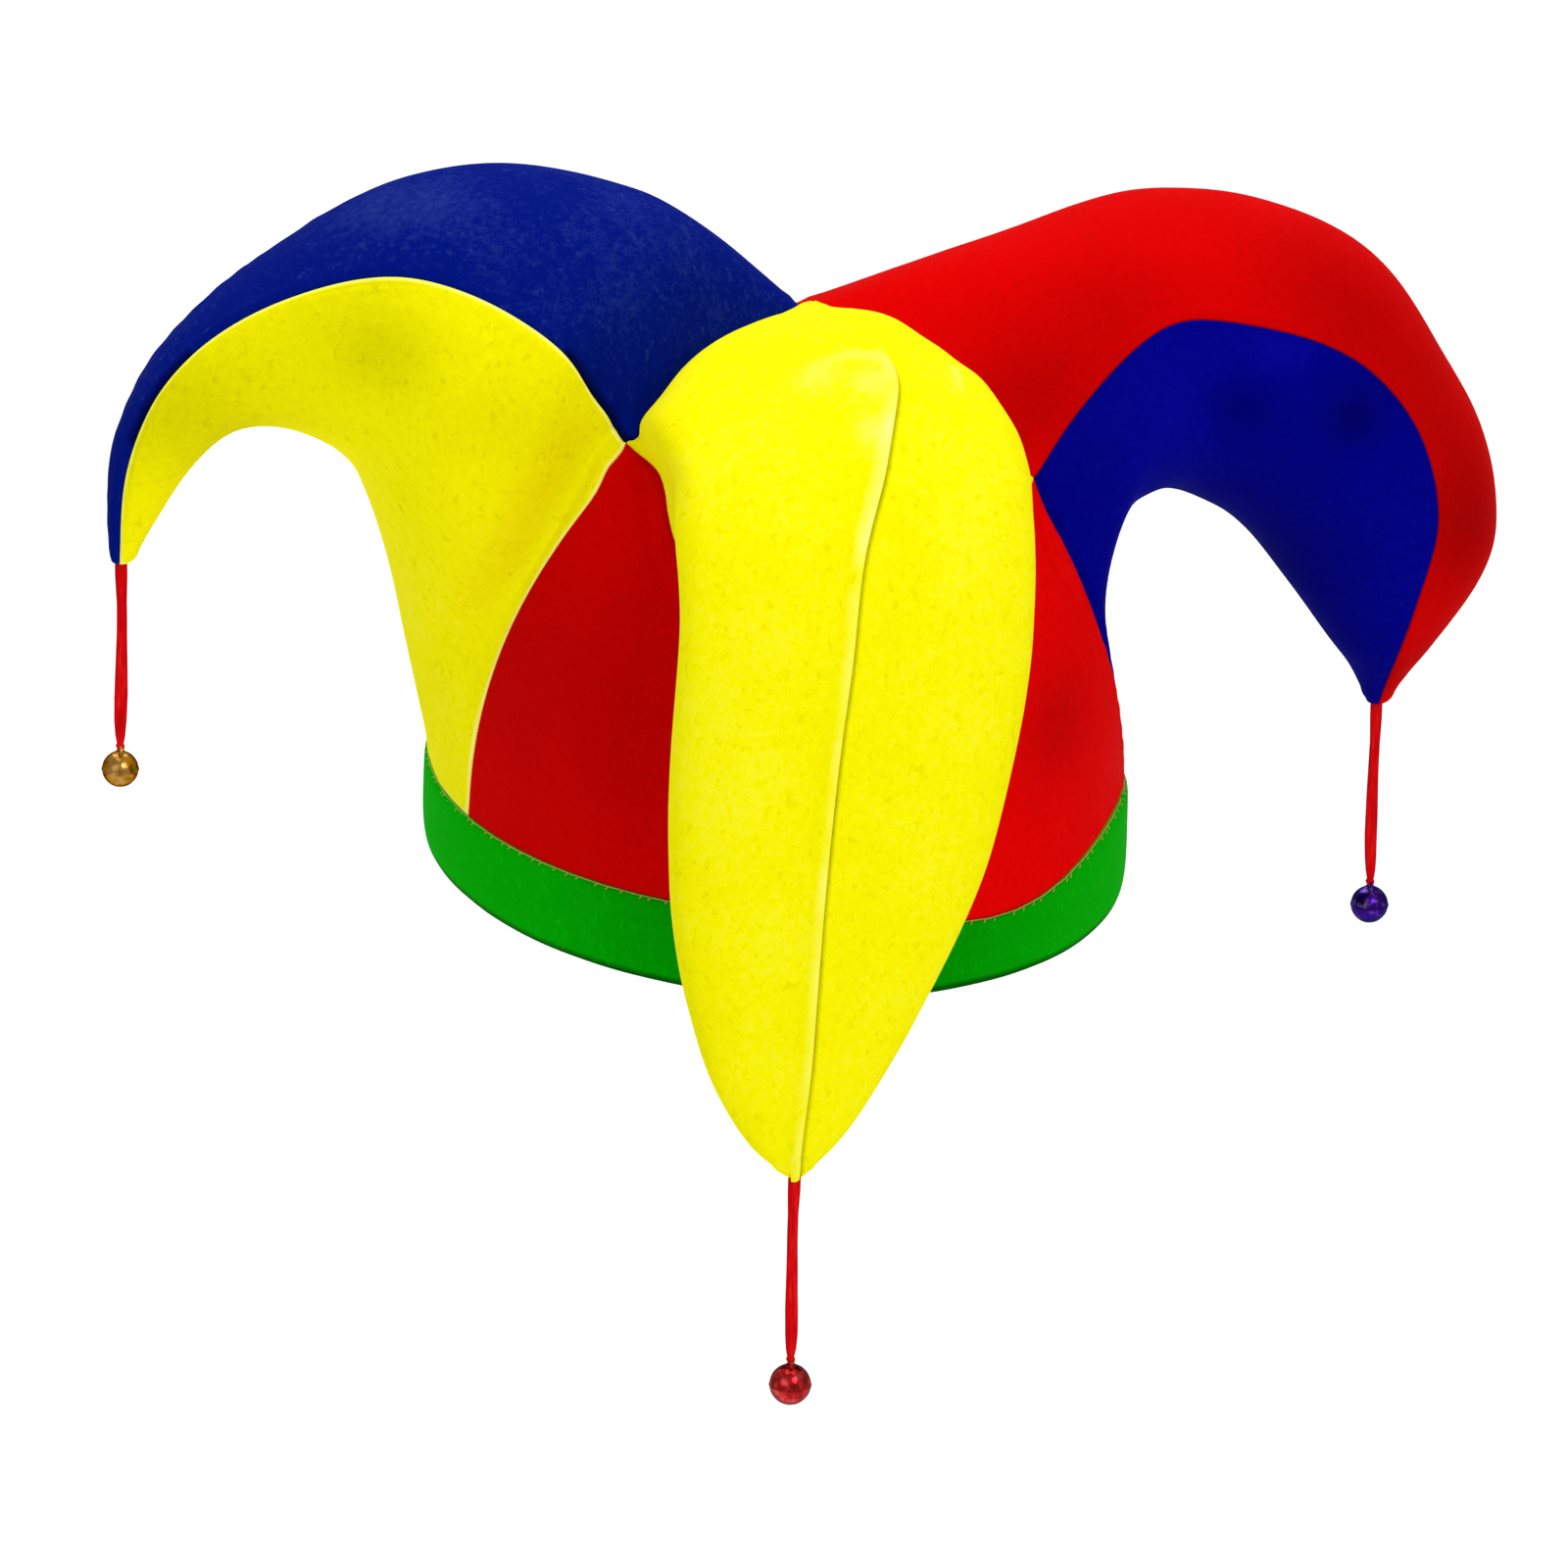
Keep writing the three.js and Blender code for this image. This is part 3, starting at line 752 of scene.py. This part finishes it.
def skins(name):
    """A felt solid's outer skin as a mesh of squares, and its inner skin as a tree to measure to."""
    solid = welded(name)
    rim = {face for edge in solid.edges if crosses_wall(edge) for face in edge.link_faces}
    bmesh.ops.delete(solid, geom=list(rim), context="FACES")
    outer, inner = face_groups(solid)
    solid.verts.index_update()
    corners = [vert.co.copy() for vert in solid.verts]
    inner_tree = BVHTree.FromPolygons(corners, [[vert.index for vert in face.verts] for face in inner])
    bmesh.ops.delete(solid, geom=inner, context="FACES")
    join_squares(solid)
    return solid, inner_tree


def mark_corners(mesh):
    """The corners of a panel's outline, by vertex: those where its edge turns sharply."""
    marks = []
    for vert in mesh.verts:
        edges = [edge for edge in vert.link_edges if edge.is_boundary]
        corner = 0.0
        if len(edges) == 2:
            first, second = (edge.other_vert(vert).co - vert.co for edge in edges)
            corner = float(math.pi - first.angle(second) > math.radians(CORNER_TURN))
        marks.append(corner)
    return marks


def rows_of(vectors, name):
    """A mesh's vertices or normals as rows of numbers."""
    found = np.zeros(3 * len(vectors))
    vectors.foreach_get(name, found)
    return found.reshape(-1, 3)


def smooth_through(name, cage):
    """A smooth surface drawn through a cage's own points."""
    corners = mark_corners(cage)
    piece = mesh_object(name, cage)
    piece.data.attributes.new("crease_vert", "FLOAT", "POINT").data.foreach_set("value", corners)
    modifier = piece.modifiers.new("smooth", "SUBSURF")
    modifier.levels = FINE_LEVELS
    modifier.boundary_smooth = "ALL"
    aim = rows_of(piece.data.vertices, "co")
    placed = aim.copy()
    for _ in range(FITTING_PASSES):
        found = rows_of(evaluated_mesh(piece).vertices, "co")[: len(aim)]
        placed += aim - found
        piece.data.vertices.foreach_set("co", placed.ravel())
        piece.data.update()
    result = evaluated_mesh(piece)
    bpy.data.objects.remove(piece)
    return result


def unit(vectors):
    return vectors / np.maximum(np.linalg.norm(vectors, axis=1, keepdims=True), 1e-12)


def border_loop(faces):
    """The vertices round the border of a mesh, in order and the way its faces turn."""
    uses = {}
    for face in faces:
        for i, start in enumerate(face):
            uses[(start, face[(i + 1) % len(face)])] = True
    after = {a: b for a, b in uses if (b, a) not in uses}
    start = min(after)
    loop = [start]
    while after[loop[-1]] != start:
        loop.append(after[loop[-1]])
    return loop


def tree_of(points):
    tree = KDTree(len(points))
    for i, point in enumerate(points):
        tree.insert(point, i)
    tree.balance()
    return tree


def fade(values, low, high):
    """0 below low, 1 above high, and a smooth rise between."""
    share = np.clip((values - low) / (high - low), 0, 1)
    return share * share * (3 - 2 * share)


def pulled(points):
    """A panel's points, drawn over where its seams swing out."""
    moved = points.copy()
    across = np.array(camera.matrix_world.to_3x3())[:, :2] * MM
    front = fade(-points[:, 1], -PULL_DEPTH, 0)
    pixels = [pixel_of(p) for p in points]
    for pull in PULLS:
        away = np.array([math.dist(pixel, pull["pixel"]) for pixel in pixels])
        moved += (front * np.exp(-((away / pull["reach"]) ** 2)))[:, None] * (across @ pull["way"])
    return moved


class Panel:
    """One felt panel: its smooth surface, its border and how far each point lies from that."""

    def __init__(self, name):
        self.name = name
        cage, inner = skins(name)
        mesh = smooth_through(name, cage)
        drawn = rows_of(mesh.vertices, "co")
        walls = [inner.find_nearest(Vector(p))[3] for p in drawn]
        self.wall = np.maximum(WALL_SHARE * np.array(walls), LEAST_WALL)
        self.points = pulled(drawn)
        mesh.vertices.foreach_set("co", self.points.ravel())
        mesh.update()
        self.normals = rows_of(mesh.vertex_normals, "vector")
        self.faces = [tuple(face.vertices) for face in mesh.polygons]
        bpy.data.meshes.remove(mesh)
        self.border = border_loop(self.faces)
        edge = self.points[self.border]
        steps = np.linalg.norm(np.roll(edge, -1, axis=0) - edge, axis=1)
        self.travel = np.concatenate([[0], np.cumsum(steps)[:-1]])
        tree = tree_of(edge)
        found = [tree.find(p) for p in self.points]
        self.nearest = np.array([f[1] for f in found])
        self.distance = np.array([f[2] for f in found])
        rim = len(self.border)
        self.roll = np.minimum(ROLL, ROLL_SHARE * self.wall[self.border])
        self.slide = np.full(rim, SEAM_SLIDE)  # how far the border is moved out
        self.rise = np.zeros(rim)  # how far it stands up there, and how far in that reaches
        self.spread = np.full(rim, LAP_SPREAD)
        self.welted = np.ones(rim)  # how strongly the seam's welt shows
        self.painted_edge_light_shade = np.ones(rim)  # how strongly the painted highlight along the rolled edge shows, or below 0 the painted shade there, and how far in that reaches
        self.painted_edge_reach = np.full(rim, EDGE_HIGHLIGHT_REACH)

    def share_slopes(self, tree, slopes_there):
        """Turns the normals near the seams to those that the neighbours have there too."""
        shared = []
        for i in self.border:
            near = [slopes_there[j] for _, j, _ in tree.find_range(self.points[i], MATE_REACH)]
            shared.append(np.sum(near, axis=0))
        shared = unit(np.array(shared))
        blend = fade(self.distance, 0, SEAM_REACH)[:, None]
        self.normals = unit(shared[self.nearest] * (1 - blend) + self.normals * blend)

    def pixel_point(self, pixel):
        """The nearest place of the panel on the line of sight through a pixel."""
        start, direction = photo_ray(pixel)
        away = self.points - np.array(start)
        along = away @ np.array(direction)
        miss = np.linalg.norm(away - along[:, None] * np.array(direction), axis=1)
        facing = self.normals @ np.array(direction) < 0
        return self.points[np.argmin(miss + np.where(facing, 0, 1))]


PANELS = {name: Panel(name) for name in CLOTH}
seam_points = np.concatenate([p.points[p.border] for p in PANELS.values()])
seam_slopes = np.concatenate([p.normals[p.border] for p in PANELS.values()])
seam_tree = tree_of(seam_points)
for sewn in PANELS.values():
    sewn.share_slopes(seam_tree, seam_slopes)


def patchy(place, swing):
    """The strength of a painted highlight that comes and goes in patches."""
    return PATCH_MEAN + swing * noise.noise(Vector(place) / PATCH)


def lap_ridge(panel, other, over):
    """Shapes the ridge between the front horn's halves. The one that lies over the other is raised, with a
    painted highlight in patches along its crest, and the one under it gets a painted shadow beside the lap.
    """
    tree = tree_of(other.points[other.border])
    panel.painted_edge_light_shade[:] = 0
    for i, vertex in enumerate(panel.border):
        place = panel.points[vertex]
        if tree.find(place)[2] > LAP_MATE or panel.normals[vertex] @ TOWARDS_CAMERA < 0:
            continue
        row = pixel_of(place)[1]
        lap = float(fade(row, *LAP_ROWS))
        flat = 1 - lap
        faded = float(fade(row, *LAP_FADE_ROWS))
        patches = patchy(place, LAP_SWING) * (1 - LAP_FADE * faded)
        crest = LAP_HIGHLIGHT_REACH + faded * (LAP_LOW_REACH - LAP_HIGHLIGHT_REACH)
        panel.slide[i] = flat * SEAM_SLIDE + lap * (LAP if over else 0)
        panel.rise[i] = lap * (LAP_RISE if over else -LAP_SINK) - flat * FLAT_SINK
        panel.spread[i] = lap * LAP_SPREAD + flat * FLAT_SPREAD
        panel.roll[i] = lap * panel.roll[i] + flat * FLAT_ROLL
        panel.welted[i] = 0
        panel.painted_edge_light_shade[i] = lap * (patches if over else -LAP_SHADOW)
        panel.painted_edge_reach[i] = crest if over else LAP_SHADOW_REACH


lap_ridge(PANELS["front_horn_left"], PANELS["front_horn_right"], True)
lap_ridge(PANELS["front_horn_right"], PANELS["front_horn_left"], False)


# A stretch of a seam where painted shade darkens the felt's edge, as in a crease: between two rows of the
# photograph and left of a column
CREASE_PAINTED_SHADE = dict(panel="left_horn_upper", rows=(362, 452), column=650, strength=-1.0, reach=2.6 * MM)


def paint_crease_shade(panel):
    """Paints shade along a panel's border on its creased stretch, and leaves the rest of it plain."""
    pixels = np.array([pixel_of(panel.points[vertex]) for vertex in panel.border])
    first, last = CREASE_PAINTED_SHADE["rows"]
    inside = (pixels[:, 1] > first) & (pixels[:, 1] < last) & (pixels[:, 0] < CREASE_PAINTED_SHADE["column"])
    seen = panel.normals[panel.border] @ TOWARDS_CAMERA > 0
    panel.painted_edge_light_shade[:] = np.where(inside & seen, CREASE_PAINTED_SHADE["strength"], 0)
    panel.painted_edge_reach[:] = CREASE_PAINTED_SHADE["reach"]


paint_crease_shade(PANELS[CREASE_PAINTED_SHADE["panel"]])


def unevenness(points, seed):
    """Slow waves of the cloth, as heights."""
    shift = Vector([step * seed for step in WAVE_SHIFT])
    heights = np.zeros(len(points))
    for wave in WAVES:
        heights += [wave["height"] * noise.noise(Vector(p) / wave["length"] + shift) for p in points]
    return heights


def seam_relief(panel):
    """The welt and the puckers beside a seam, as heights."""
    away = panel.distance
    welt = WELT * np.exp(-(((away - WELT_PLACE) / WELT_SPREAD) ** 2))
    along = panel.travel[panel.nearest]
    wander = np.array([noise.noise(Vector((0, 0, s / PUCKER_DRIFT))) for s in panel.travel])[panel.nearest]
    pulls = np.sin(2 * np.pi * along / PUCKER_LENGTH + PUCKER_STRAY * wander)
    pulls *= PUCKER_EVENNESS + (1 - PUCKER_EVENNESS) * wander
    return (welt + PUCKER * pulls * np.exp(-away / PUCKER_REACH)) * panel.welted[panel.nearest]


# Soft dents, where the photograph shows them. Their heights and reaches are in millimetres.
DENTS = {
    "left_horn_lower": [
        dict(pixel=(395, 370), height=-3.5, reach=14),
        dict(pixel=(262, 400), height=-1.2, reach=12),
    ],
    "right_horn_lower": [
        dict(pixel=(1240, 415), height=-1.6, reach=10),
        dict(pixel=(1385, 425), height=-1.8, reach=11),
    ],
    "right_horn_upper": [dict(pixel=(1040, 340), height=-2.0, reach=18)],
}
# Painted shade (negative) and painted light (positive) on the cloth, where its shadows and lit places lie,
# and how many millimetres that reaches
PAINTED_LIGHT_AND_SHADE = {
    "left_horn_lower": [
        dict(pixel=(200, 430), tone=-0.17, reach=22),
        dict(pixel=(330, 330), tone=-0.10, reach=20),
        dict(pixel=(385, 372), tone=-0.12, reach=12),
        dict(pixel=(520, 430), tone=-0.08, reach=22),
    ],
    "left_horn_upper": [dict(pixel=(420, 195), tone=0.03, reach=18)],
    "right_horn_upper": [
        dict(pixel=(1250, 260), tone=-0.10, reach=140),
        dict(pixel=(1048, 400), tone=-0.20, reach=20),
        dict(pixel=(1155, 300), tone=-0.09, reach=16),
        dict(pixel=(1370, 290), tone=-0.16, reach=26),
        dict(pixel=(1470, 420), tone=-0.15, reach=26),
        dict(pixel=(1500, 540), tone=-0.28, reach=22),
        dict(pixel=(1440, 680), tone=-0.20, reach=18),
    ],
    "right_horn_lower": [
        dict(pixel=(1385, 428), tone=-0.30, reach=8),
        dict(pixel=(1160, 420), tone=0.09, reach=24),
        dict(pixel=(1270, 418), tone=-0.20, reach=7),
        dict(pixel=(1430, 600), tone=0.04, reach=15),
        dict(pixel=(1310, 355), tone=0.07, reach=9),
    ],
    "front_horn_left": [
        dict(pixel=(893, 388), tone=0.16, reach=4.5),
        dict(pixel=(897, 440), tone=0.16, reach=4),
        dict(pixel=(835, 385), tone=0.10, reach=5),
    ],
    "gusset_front_left": [dict(pixel=(600, 700), tone=-0.20, reach=80)],
    "gusset_front_right": [dict(pixel=(1080, 735), tone=-0.18, reach=16)],
}
# Small folds, as lines that stand up and die away towards their last pixel, with heights and spreads in
# millimetres. Tone is the painted highlight along their crests.
FOLDS = {
    "front_horn_left": dict(
        pixels=[(914, 380), (908, 366), (890, 358), (866, 362), (841, 374), (812, 390)],
        height=0.7, spread=2.4, tone=0.35,
    ),
    "front_horn_right": dict(pixels=[(974, 378), (977, 406)], height=0.35, spread=1.5, tone=0.3),
}


def spots(table, panel, value):
    """The sum of soft round spots of a table over a panel's points."""
    total = np.zeros(len(panel.points))
    for row in table.get(panel.name, []):
        away = np.linalg.norm(panel.points - panel.pixel_point(row["pixel"]), axis=1)
        total += row[value] * np.exp(-((away / (row["reach"] * MM)) ** 2))
    return total


def fold_shares(panel, fold):
    """How much of a fold's height each point of a panel has, from 0 to 1."""
    line = [panel.pixel_point(pixel) for pixel in fold["pixels"]]
    best = np.zeros(len(panel.points))
    for i, (start, end) in enumerate(zip(line, line[1:])):
        step = end - start
        share = np.clip((panel.points - start) @ step / (step @ step), 0, 1)
        away = np.linalg.norm(panel.points - start - share[:, None] * step, axis=1)
        height = np.cos(0.5 * np.pi * (i + share) / (len(line) - 1))
        best = np.maximum(best, height * np.exp(-((away / (fold["spread"] * MM)) ** 2)))
    return best


def felt_mesh(panel, form, relief):
    """A closed wall of felt: the form on both its sides, the relief on its outside, and its edges rolled
    into the seams."""
    n, border, near = panel.normals, panel.border, panel.nearest
    flush = fade(panel.distance, 0, FLUSH_REACH)
    base = panel.points + n * (form * flush)[:, None]
    edge = base[border]
    along = unit(np.roll(edge, -1, axis=0) - np.roll(edge, 1, axis=0))
    inward = unit(np.cross(n[border], along))
    reach = SLIDE_REACH * np.maximum(panel.roll, np.abs(panel.slide))
    away = unit(base - edge[near])
    away[border] = inward
    close = (np.clip(1 - panel.distance / reach[near], 0, 1) ** 2)[:, None]
    slid = base - away * panel.slide[near][:, None] * close
    lift = panel.rise[near] * np.exp(-((panel.distance / panel.spread[near]) ** 2))
    outer = slid + away * panel.roll[near][:, None] * close + n * (relief * flush + lift)[:, None]
    inner = slid + n * (lift - panel.wall)[:, None]
    count, rim = len(base), len(border)
    rows = [np.array(border)]
    points = [outer, inner]
    centre = edge - inward * panel.slide[:, None] + n[border] * panel.rise[:, None]
    centre += (inward - n[border]) * panel.roll[:, None]
    for step in range(1, ROLL_STEPS + 1):
        turn = 0.5 * np.pi * step / ROLL_STEPS
        ring = centre + (n[border] * math.cos(turn) - inward * math.sin(turn)) * panel.roll[:, None]
        rows.append(2 * count + (step - 1) * rim + np.arange(rim))
        points.append(ring)
    rows.append(count + np.array(border))
    faces = list(panel.faces) + [tuple(count + i for i in reversed(face)) for face in panel.faces]
    for upper, lower in zip(rows, rows[1:]):
        for i in range(rim):
            j = (i + 1) % rim
            faces.append((upper[j], upper[i], lower[i], lower[j]))
    return np.concatenate(points), faces


GREEN = (0.0, 0.285, 0.0)
RED = (0.70, 0.0, 0.0)
BLUE = (0.0, 0.006, 0.175)
NAVY = (0.0, 0.0, 0.195)
YELLOW = (0.90, 0.845, 0.0)
# Pale is each felt's lighter tint, for its fibre ends and for painted light. Edge sets how strong the painted
# highlight along its seams is; the green felt's is the painted shade of the band's bottom fold.
FELTS = {
    "red": felt("red felt", RED, (1.0, 0.05, 0.03), fleck=-0.04),
    "blue": felt("blue felt", BLUE, (0.10, 0.18, 0.52), fleck=0.04, edge=0.5),
    "navy": felt("navy felt", NAVY, (0.006, 0.008, 0.55), fleck=0.05),
    "yellow": felt("yellow felt", YELLOW, (1.0, 1.0, 0.30), fleck=-0.09, edge=0.35),
    "green": felt("green felt", GREEN, (0.0, 0.56, 0.0), fleck=0.16, edge=0.85),
}
SLOTS = {name: f"{name}_felt" for name in FELTS} | {"navy": "blue_felt"}


def make_panel(panel, seed):
    form = unevenness(panel.points, seed) + spots(DENTS, panel, "height") * MM
    relief = seam_relief(panel)
    # Painted light and shade of the cloth, from the table of spots
    shade = spots(PAINTED_LIGHT_AND_SHADE, panel, "tone")
    if panel.name in FOLDS:
        fold = FOLDS[panel.name]
        shares = fold_shares(panel, fold)
        relief += fold["height"] * MM * shares
        # Painted highlight along the fold's crest, in patches
        shade += fold["tone"] * shares * [patchy(p, FOLD_SWING) for p in panel.points]
    piece = link_mesh(f"{panel.name}_felt", *felt_mesh(panel, form, relief))
    # How far each point lies from a seam, and the painted highlights along most seams and painted shade along
    # the lap and the crease
    add_tones(piece.data, "seam_distance", panel.distance / panel.painted_edge_reach[panel.nearest], panel.border)
    add_tones(piece.data, "painted_seam_light_shade", panel.painted_edge_light_shade[panel.nearest], panel.border)
    add_tones(piece.data, "shade", shade, panel.border)
    cloth = CLOTH[panel.name]
    dress(piece, FELTS[cloth["felt"]], SLOTS[cloth["felt"]], panel.name)


for seed, sewn in enumerate(PANELS.values(), start=1):
    make_panel(sewn, seed)


# Band


BAND_COLUMNS = 60  # of the solid
BAND_TOP = 1 * MM  # the corners of its upper face lie within this height
HEM_SHADE_HEIGHT = 2.7 * MM  # how far up painted shade darkens the band's bottom, where its fold turns under
HEM_STEP = 3  # degrees of the rim over which its bottom is level
BAND_WAVES = 0.5  # of the unevenness that a panel has
BAND_SEED = 12
# Painted shade on the band near the front horn, and painted light at its sides. Out is a share of half its
# width.
SIDE_PAINTED_SHADES = dict(out=(0.2, 1), tone=(-0.12, 0.24))
STITCH_SPACING = 4.2 * MM
STITCH_RISE = 0.35 * MM
STITCH_SLANT = 0.6 * MM
STITCH_OUT = 0.2 * MM
STITCH_BOW = 0.3 * MM
STITCH_STRAY = 0.8  # of their spacing
STITCH_DRIFT = 0.7  # how fast that changes from stitch to stitch
STITCH_RINGS = 5
STITCH_SIDES = 6
LINE_OUT = -0.3 * MM  # the thread that the stitches hold down along the edge
LINE_RISE = 0.35 * MM
LINE_SIDES = 8
THREAD_RADIUS = 0.13 * MM
THREAD = (0.58, 0.42, 0.07)


def heights_in_band(points):
    """How far each of the band's points lies above its bottom there."""
    columns = np.round(np.degrees(np.arctan2(points[:, 1], points[:, 0])) / HEM_STEP) % (360 / HEM_STEP)
    lowest = {column: points[columns == column, 2].min() for column in set(columns)}
    return points[:, 2] - [lowest[column] for column in columns]


def make_band():
    """The folded green strip round the rim."""
    solid = welded("band")
    join_squares(solid)
    mesh = smooth_through("band", solid)
    points = rows_of(mesh.vertices, "co")
    normals = rows_of(mesh.vertex_normals, "vector")
    points += normals * (BAND_WAVES * unevenness(points, BAND_SEED))[:, None]
    mesh.vertices.foreach_set("co", points.ravel())
    mesh.update()
    band = new_object("band_felt", mesh)
    out = np.abs(points[:, 0]) / np.max(points[:, 0])
    add_tones(mesh, "shade", np.interp(out, SIDE_PAINTED_SHADES["out"], SIDE_PAINTED_SHADES["tone"]))
    add_tones(mesh, "seam_distance", heights_in_band(points) / HEM_SHADE_HEIGHT)
    # Painted shade along the band's bottom fold
    add_tones(mesh, "painted_seam_light_shade", np.full(len(points), -1.0))
    dress(band, FELTS["green"], "green_felt", "band")


def top_edge():
    """The band's outer upper edge, as points in order round the rim."""
    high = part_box("band")[1]
    solid = welded("band")
    columns = {}
    for vert in solid.verts:
        corner = vert.co.copy()
        turn = math.atan2(corner.y / high.y, corner.x / high.x) / (2 * math.pi)
        columns.setdefault(round(turn * BAND_COLUMNS) % BAND_COLUMNS, []).append(corner)
    solid.free()
    edge = []
    for column in sorted(columns):
        top = max(corner.z for corner in columns[column])
        upper = [corner for corner in columns[column] if corner.z > top - BAND_TOP]
        edge.append(max(upper, key=lambda corner: corner.xy.length))
    return edge


def make_stitches():
    """Slanted stitches over the band's upper edge, which hold it to the crown, and a thread under them."""
    edge = top_edge()
    steps = [(b - a).length for a, b in zip(edge, edge[1:] + edge[:1])]
    marks = np.concatenate([[0], np.cumsum(steps)])
    loop = np.array([list(p) for p in edge + edge[:1]])
    count = int(marks[-1] / STITCH_SPACING)
    parts = []
    for i in range(count):
        travel = (i + STITCH_STRAY * noise.noise(Vector((STITCH_DRIFT * i, 0, 0)))) * marks[-1] / count
        place, ahead = (
            Vector([np.interp(where % marks[-1], marks, loop[:, axis]) for axis in range(3)])
            for where in (travel, travel + STITCH_SLANT)
        )
        outward = Vector((place.x, place.y, 0)).normalized()
        low = place - UP * STITCH_RISE + outward * STITCH_OUT
        high = ahead + UP * STITCH_RISE + outward * LINE_OUT
        across = (high - low).cross(outward).normalized()
        rings = []
        for step in range(STITCH_RINGS):
            share = step / (STITCH_RINGS - 1)
            middle = low.lerp(high, share) + outward * STITCH_BOW * math.sin(math.pi * share)
            rings.append(hoop(middle, across, outward, THREAD_RADIUS, STITCH_SIDES))
        parts.append(tube(rings))
    line = []
    for place in edge + edge[:1]:
        outward = Vector((place.x, place.y, 0)).normalized()
        middle = place + outward * LINE_OUT + UP * LINE_RISE
        line.append(hoop(middle, outward, UP, THREAD_RADIUS, LINE_SIDES))
    parts.append(tube(line))
    stitches = link_mesh("band_stitches", *joined(*parts))
    dress(stitches, thread("tan thread", THREAD), "green_felt")


make_band()
make_stitches()


# Stage and light


def make_floor():
    low = cad_box[0].z - FLOOR_DROP
    half = FLOOR_SIDE / 2
    corners = [(-half, -half, low), (half, -half, low), (half, half, low), (-half, half, low)]
    floor = link_mesh("floor", corners, [(0, 1, 2, 3)])
    nodes = Nodes("pale floor")
    grain = nodes.noise(nodes.place(), scale=3)
    pale = nodes.ramp(grain, [(0.3, (0.97, 0.97, 0.97)), (0.7, (0.99, 0.99, 0.99))])
    floor.data.materials.append(nodes.shade(Base_Color=pale, Roughness=0.9, Specular_IOR_Level=0.0))


LIGHTS = [
    dict(name="key", place=(0.6, -1.8, 1.6), aim=(0, 0, 0.05), size=1.3, power=24),
    dict(name="fill", place=(-1.6, -1.5, 1.0), aim=(0, 0, 0.05), size=1.6, power=6),
    dict(name="top", place=(0.0, 0.7, 2.6), aim=(0, 0.5, 0), size=2.4, power=30),
    dict(name="back", place=(0.0, 2.3, 1.9), aim=(0, 2.1, -0.6), size=2.6, power=40),
]


def make_lights():
    for row in LIGHTS:
        data = bpy.data.lights.new(row["name"], "AREA")
        data.size = row["size"]
        data.energy = row["power"]
        lamp = new_object(row["name"], data)
        lamp.location = row["place"]
        lamp.rotation_euler = (Vector(row["place"]) - Vector(row["aim"])).to_track_quat("Z", "Y").to_euler()
    world = bpy.data.worlds.new("studio")
    bpy.context.scene.world = world
    world.use_nodes = True
    backdrop = world.node_tree.nodes["Background"]
    backdrop.inputs["Color"].default_value = (1, 1, 1, 1)
    backdrop.inputs["Strength"].default_value = WORLD_STRENGTH


make_floor()
make_lights()
bpy.context.scene.view_settings.view_transform = "Standard"
